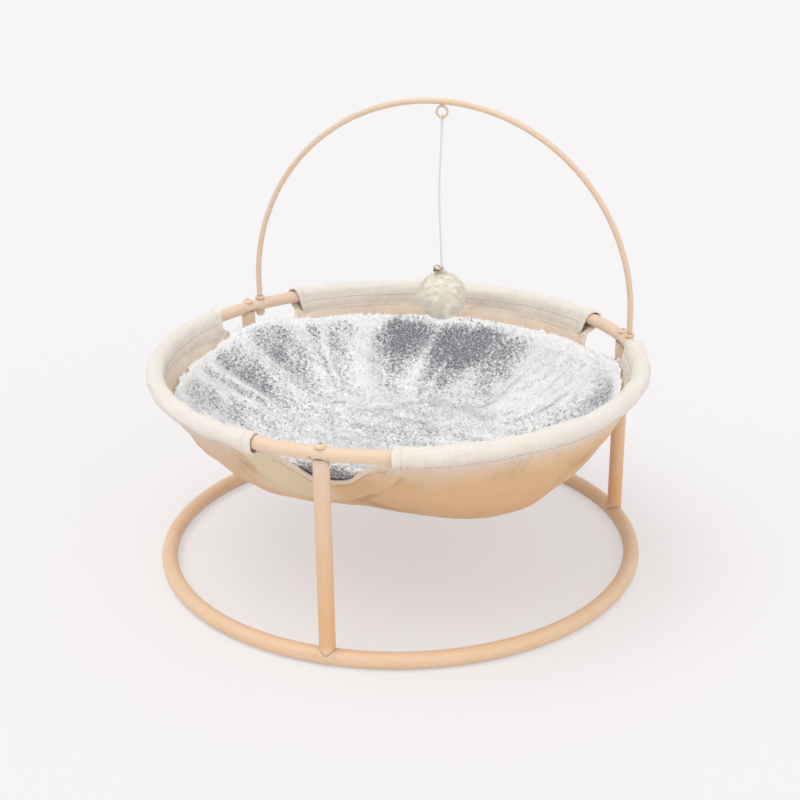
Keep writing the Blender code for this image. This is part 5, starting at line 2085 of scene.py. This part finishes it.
@dataclass
class Toy:
    """The cord with its loop and knot, and the bell and the pompom that turn on it.

    Attributes:
        route: The cord's middle line as (across, drop), under the loop.
        cord: Radius of the cord.
        ply: Radius of each of its two plies.
        lay: Length over which the plies go once round.
        cord_drop: Distance from the pivot to the start of the route.
        pompom_drop: Height of the pompom's middle over the knot.
    """

    finishes: Finishes
    arch: ToyArch
    route: tuple[tuple[float, float], ...] = (
        (0.0000, 0.000), (-0.0004, 0.012), (-0.0013, 0.032), (-0.0023, 0.055),
        (-0.0027, 0.078), (-0.0023, 0.101), (-0.0014, 0.122), (-0.0005, 0.141),
        (0.0000, 0.154))
    length: float = 0.154
    cord: float = 0.00112
    ply: float = 0.00068
    lay: float = 0.0042
    cord_drop: float = 0.0039
    loop: float = 0.0026
    pompom: float = 0.026
    pompom_drop: float = -0.029658
    bell: float = 0.0045
    bell_wall: float = 0.0006
    bell_bearing: float = -120.0
    bell_reach: float = 0.00655
    bell_rise: float = 0.00045
    wool: int = 5600

    @property
    def pivot(self) -> Array:
        """Where the cord swings, at the lowest point of the eye's wire."""
        up = self.arch.eye_height - self.arch.eye_circle
        return self.arch.at(self.arch.eye_offset, 0.0, up)

    @property
    def twist(self) -> Array:
        """Where the knot, the bell and the pompom hang."""
        return self.pivot - [0.0, 0.0, self.cord_drop + self.length]

    def cord_path(self, pitch: float) -> Array:
        """Return points along the cord: a smooth curve through its route, read evenly.

        Args:
            pitch: Distance between the points.

        Returns:
            The points, from the top.
        """
        spots = np.array(self.route)
        spots = np.concatenate([2 * spots[:1] - spots[1:2], spots, 2 * spots[-1:] - spots[-2:-1]])
        share = np.linspace(0.0, 1.0, 60)[:-1, None]
        parts = []
        for a, b, c, d in zip(spots, spots[1:], spots[2:], spots[3:]):
            parts.append(0.5 * (2 * b + (c - a) * share + (2 * a - 5 * b + 4 * c - d) * share ** 2
                                + (3 * b - a - 3 * c + d) * share ** 3))
        fine = np.concatenate(parts + [spots[-2:-1]])
        size = lengths(fine)
        even = np.linspace(0.0, size[-1], int(size[-1] / pitch) + 1)
        across, drop = read_along(even, size, fine).T[..., None]
        axes = self.arch.axes()
        return self.pivot - [0.0, 0.0, self.cord_drop] + across * axes[0] - drop * axes[2]

    def plies(self, path: Array, side: Array, other: Array, closed: bool = False) -> list[Surface]:
        """Lay two plies round a path: each is a tube whose middle circles the path.

        Args:
            path: The cord's middle line.
            side: First unit direction across it.
            other: Second unit direction across it.
            closed: Whether the path closes on itself.

        Returns:
            The two plies.
        """
        size = lengths(path)
        turns, radius = size / self.lay * TAU, np.full(len(path), self.ply)
        if closed:
            turns = np.linspace(0.0, round(size[-1] / self.lay) * TAU, len(path))
        else:
            radius[[0, -1]] = 0.0
        made = []
        for phase in (0.0, math.pi):
            angle = (turns + phase)[:, None]
            off = np.cos(angle) * side + np.sin(angle) * other
            middle = path + off * (self.cord - self.ply)
            made.append(tube(middle, side, other, radius, 9).facing())
        return made

    def build_cord(self) -> None:
        path, axes = self.cord_path(0.00035), self.arch.axes()
        plies = self.plies(path, axes[1], np.cross(heading(path), axes[1]))
        turn = np.linspace(0.0, TAU * 3.2, 90)
        spoke = circle(turn, ACROSS, BACK)
        wrap = path[0] - 0.0006 * UP + 0.00135 * spoke - (turn / TAU * 0.00095)[:, None] * UP
        radius = np.r_[0.0, np.full(88, 0.00052), 0.0]
        whipping = tube(wrap, unit(spoke), UP, radius, 8).facing()
        piece = add_grids("twisted_cord", plies + [whipping], self.finishes.cord, "toy_cord",
                          body="cord")
        bend = circle(np.linspace(0.0, TAU, 91), axes[1], axes[2])
        loops = self.plies(self.pivot + self.loop * bend, bend, axes[0], closed=True)
        add_grids("twisted_loop", loops, self.finishes.cord, "toy_loop", body="loop")
        points = self.cord_path(0.004)
        log.info("cord: %d faces and its loop", len(piece.data.polygons))

    def build_knot(self) -> list[bpy.types.Object]:
        """Build the knot, a trefoil of the cord, and its frayed ends."""
        turn = np.linspace(0.0, TAU, 121)
        reach = 2.0 + np.cos(3.0 * turn)
        spots = np.stack([reach * np.cos(2.0 * turn), reach * np.sin(2.0 * turn),
                          1.5 * np.sin(3.0 * turn)], -1)
        path = self.twist - 0.00172 * UP + spots * [0.00042, 0.00042, 0.00062]
        way = np.gradient(path, axis=0)
        way[0] = way[-1] = path[1] - path[-2]
        side = unit(np.cross(unit(way), [0.3, 0.2, 1.0]))
        knot = tube(path, side, np.cross(unit(way), side), 0.00066, 10).facing()
        made = [add_grids("tied_knot", [knot], self.finishes.cord, "cord_knot", body="toy")]
        rng = np.random.default_rng(91)
        share = np.linspace(0.0, 1.0, 9)[:, None]
        radius = 0.00019 * np.r_[0.0, np.ones(7), 0.0]
        grids = []
        for bearing in (150.0, 162.0, 175.0, -5.0, 12.0, 28.0, -40.0, 95.0, 240.0):
            flat, across, _ = standing(bearing)
            bend = across * rng.uniform(-0.4, 0.4)
            drop = np.array([0.0, 0.0, -0.6 - 0.4 * rng.uniform()])
            line = self.twist - 0.0013 * UP + rng.uniform(0.004, 0.0065) * (
                share * (flat + 0.1 * UP) + share ** 2 * (bend + drop * 0.55))
            side = unit(np.cross(heading(line), UP))
            grids.append(tube(line, side, np.cross(heading(line), side), radius, 5,
                              {"shade": np.full(9, 0.9)}).facing())
        return made + [add_grids("frayed_ends", grids, self.finishes.cord, body="toy")]

    def build_bell(self) -> list[bpy.types.Object]:
        """Build the bell: a thin round shell with a slot, and its shank round the cord."""
        out, side, _ = standing(self.bell_bearing + self.arch.turn)
        top = self.twist + self.bell_rise * UP
        centre, axes = top + out * self.bell_reach, np.array([side, UP, out])
        turn = np.linspace(0.0, math.pi, 33)
        shells = []
        for radius, outward in ((self.bell, True), (self.bell - self.bell_wall, False)):
            band = 0.00012 * hump(turn - math.pi / 2, 0.07) * outward
            profile = np.stack([(radius + band) * np.sin(turn), radius * np.cos(turn)], 1)
            shells.append(turned(profile, 56, centre, axes).facing(outward))
        bell = add_grids("round_bell", shells, self.finishes.bell, "bell", body="toy")
        form = np.array([[0.0, 0.0], [1.0, 0.0], [1.0, 0.009], [0.0, 0.009]])
        reach = np.linspace(0.0, TAU, 33)
        square = np.maximum(np.abs(np.cos(reach)), np.abs(np.sin(reach)))[None, :, None]
        for wide, tall, shape in ((0.0011, 0.0105, square), (0.0024, 0.0024, 1.0)):
            tool = turned(form, 32, centre + out * 0.0006, axes)
            local = (tool.points - centre) @ axes.T
            local[..., :2] = local[..., :2] / shape * [tall / 2, wide / 2]
            tool.points = centre + local @ axes
            cut_away(bell, tool)
        spoke = circle(np.linspace(0.0, TAU, 49), ACROSS, BACK)
        ring = tube(top + 0.00205 * spoke, spoke, UP, 0.00045, 12).facing()
        log.info("bell: %d faces and its shank", len(bell.data.polygons))
        return [bell, add_grids("bell_shank", [ring], self.finishes.bell, body="toy")]

    def build_pompom(self) -> list[bpy.types.Object]:
        """Build the pompom: a round core and wool strands that stand out of it all round."""
        centre = self.twist + self.pompom_drop * UP
        turn = np.linspace(0.0, math.pi, 41)
        profile = np.stack([np.sin(turn), np.cos(turn)], 1) * (self.pompom - 0.0019)
        core = turned(profile, 64, centre, np.eye(3)).facing()
        way = unit(core.points - centre)
        lump = ripple(way[..., 0] * 0.03, (way[..., 1] + way[..., 2]) * 0.03, 0.012, 95)
        core.points = core.points + way * (0.0006 * lump)[..., None]
        core.points[[0, -1]] = core.points[[0, -1]].mean(1, keepdims=True)
        core.points[:, -1] = core.points[:, 0]
        core.masks["shade"] = np.full(core.points.shape[:2], 0.66)
        made = add_grids("pompom_core", [core], self.finishes.wool_core, "pompom", body="toy")
        rng = np.random.default_rng(96)
        count = int(self.wool * DETAIL.value)
        number = np.arange(count) + 0.5
        height = 1.0 - 2.0 * number / count
        spin = number * math.pi * (3.0 - math.sqrt(5.0))
        flat = np.sqrt(1.0 - height ** 2)
        out = np.stack([flat * np.cos(spin), flat * np.sin(spin), height], -1)
        out = unit(out + rng.normal(0.0, 0.03, (count, 3)))
        lean = unit(np.cross(out, unit(rng.normal(0.0, 1.0, (count, 3)))))
        tone = 0.5 + 0.2 * ripple(out[:, 0] * 0.03, (out[:, 1] + 0.7 * out[:, 2]) * 0.03, 0.01, 97)
        shade = np.clip(tone + rng.normal(0.0, 0.16, count), 0.0, 1.0)
        strand = Strand(0.0030, 0.00050 / math.sqrt(DETAIL.value), rise=0.95, droop=0.10,
                        curl=0.35, blend=0.0)
        mesh = strand.grow("pompom_wool", centre + out * (self.pompom - 0.0024), out, lean,
                           shade, rng)
        log.info("pompom: %d strands", count)
        return [made, add_piece("pompom_wool", mesh, self.finishes.wool, body="toy")]

    def build(self) -> None:
        """Build the whole toy."""
        knot, (bell, shank), pompom = self.build_knot(), self.build_bell(), self.build_pompom()
        self.build_cord()


# What stays as packed


@dataclass
class HiddenFixings:
    """The plugs, the lower screws and the pea, which stay as packed and get their plating."""

    finishes: Finishes
    starts: tuple[str, ...] = ("leg_plug", "bottom_screw", "bell_pea")

    def dress(self) -> None:
        """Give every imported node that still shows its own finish."""
        dressed = 0
        for name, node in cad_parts.items():
            look = self.finishes.steel if name.startswith(self.starts) else self.finishes.paint
            node.data.materials.clear()
            node.data.materials.append(look.material)
            dressed += not node.hide_render
        log.info("packed nodes that show: %d", dressed)


# Camera, light and floor


@dataclass
class Studio:
    """The photograph's camera, a soft key light, even sky light and a pale floor.

    Attributes:
        azimuth: Bearing of the camera round the object, in degrees.
        elevation: Its height over the level, in degrees.
        roll: Its turn about its own axis, in degrees.
        lamps: Name, strength and direction of each lamp.
        sky_level: Strength of the sky on the object.
        floor_glow: How much of the floor's colour is shown without light or shadow.
    """

    azimuth: float = 16.17
    elevation: float = 23.0
    roll: float = -0.672
    distance: float = 1.4527
    target: tuple[float, float, float] = (0.0, 0.0, 0.130)
    lens: float = 64.095
    shift: tuple[float, float] = (0.0011, 0.0389)
    floor_colour: Colour = srgb(236, 234, 235)
    floor_shown: Colour = srgb(246, 244, 245)
    floor_glow: float = 0.5
    floor_half: float = 30.0
    sky_level: float = 0.68
    sky_shown: float = 0.92
    lamps: tuple[tuple[str, float, tuple[float, float, float]], ...] = (
        ("key", 1.25, (-0.35, -0.30, 1.3)), ("fill", 0.50, (0.80, -0.60, 0.45)))
    lamp_angle: float = 55.0

    def stand(self, name: str, data: bpy.types.ID, axes: Array, place: Array) -> bpy.types.Object:
        """Stand a camera or a lamp at a place, with its right, its up and its back.

        Args:
            name: Name of the object.
            data: The camera or the lamp.
            axes: Its right, its up and its back.
            place: Where it stands.

        Returns:
            The new object.
        """
        made = new_object(name, data)
        pose = np.eye(4)
        pose[:3, :3], pose[:3, 3] = np.transpose(axes), place
        made.matrix_world = Matrix(pose.tolist())
        return made

    def build_camera(self) -> None:
        """Build the camera from its fitted angles."""
        azimuth, elevation, roll = np.radians([self.azimuth, self.elevation, self.roll])
        back = np.array([math.sin(azimuth) * math.cos(elevation),
                         -math.cos(azimuth) * math.cos(elevation), math.sin(elevation)])
        right = unit(np.cross(-back, UP))
        up = np.cross(back, right)
        axes = [math.cos(roll) * right + math.sin(roll) * up,
                math.cos(roll) * up - math.sin(roll) * right, back]
        data = bpy.data.cameras.new("camera")
        data.lens, data.sensor_width = self.lens, 36.0
        data.shift_x, data.shift_y = self.shift
        place = np.array(self.target) + back * self.distance
        bpy.context.scene.camera = self.stand("camera", data, axes, place)

    def build_light(self) -> None:
        """Build two wide soft lamps far off, at the front left and at the right, and the sky."""
        for name, level, place in self.lamps:
            data = bpy.data.lights.new(name, "SUN")
            data.energy, data.angle = level, math.radians(self.lamp_angle)
            back = unit(np.array(place))
            side = unit(np.cross(UP, back))
            self.stand(name, data, [side, np.cross(back, side), back], back * 3.0)
        world = bpy.data.worlds.new("sky")
        world.use_nodes = True
        bpy.context.scene.world = world
        tree, background = Tree(world.node_tree), world.node_tree.nodes["Background"]
        tree.feed(background.inputs["Color"], (1.0, 0.995, 0.99, 1.0))
        tree.feed(background.inputs["Strength"], tree.between(
            self.seen(tree), 0.0, 1.0, self.sky_level, self.sky_shown))

    def seen(self, tree: Tree) -> Socket:
        """Return 1 for what the camera sees, straight or in a reflection."""
        path = tree.node("LightPath").outputs
        seen = tree.maths("MAXIMUM", path["Is Camera Ray"], path["Is Glossy Ray"])
        return tree.maths("MAXIMUM", seen, path["Is Transmission Ray"])

    def build_floor(self) -> None:
        """Build the floor, a wide plane that shows the object's shadow at a soft strength."""
        corners = np.array([(-1, -1, 0), (1, -1, 0), (1, 1, 0), (-1, 1, 0)]) * self.floor_half
        mesh = fill_mesh("floor", corners, np.array([[0, 1, 2, 3]]), corners[:, :2], {})
        made = bpy.data.materials.new("pale_floor")
        made.use_nodes = True
        tree, nodes = Tree(made.node_tree), made.node_tree.nodes
        shader = nodes["Principled BSDF"]
        for name, value in (("Base Color", self.floor_colour), ("Roughness", 0.9),
                            ("Specular IOR Level", 0.0)):
            tree.feed(shader.inputs[name], value)
        glow = tree.node("Emission", self.floor_shown, 1.0)
        share = tree.maths("MULTIPLY", self.seen(tree), self.floor_glow)
        mixed = tree.node("MixShader", share, shader.outputs[0], glow.outputs[0])
        tree.feed(nodes["Material Output"].inputs["Surface"], mixed.outputs[0])
        mesh.materials.append(made)
        new_object("floor", mesh)

    def build(self) -> None:
        """Build the studio."""
        self.build_camera()
        self.build_light()
        self.build_floor()
        bpy.context.scene.view_settings.view_transform = "Standard"
        log.info("studio: camera at %.1f degrees, %.1f up", self.azimuth, self.elevation)


def main() -> None:
    """Build every sub-assembly in order."""
    logging.basicConfig(level=logging.INFO, format="%(name)s: %(message)s")
    finishes, form = Finishes.made(), BowlForm()
    Studio().build()
    arch = ToyArch(finishes)
    Toy(finishes, arch).build()
    arch.build()
    TubeFrame(finishes).build()
    cover = Cover(finishes, form)
    cover.build()
    PlushPad(finishes, form, cover).build()
    HiddenFixings(finishes).dress()


if __name__ == "__main__":
    main()
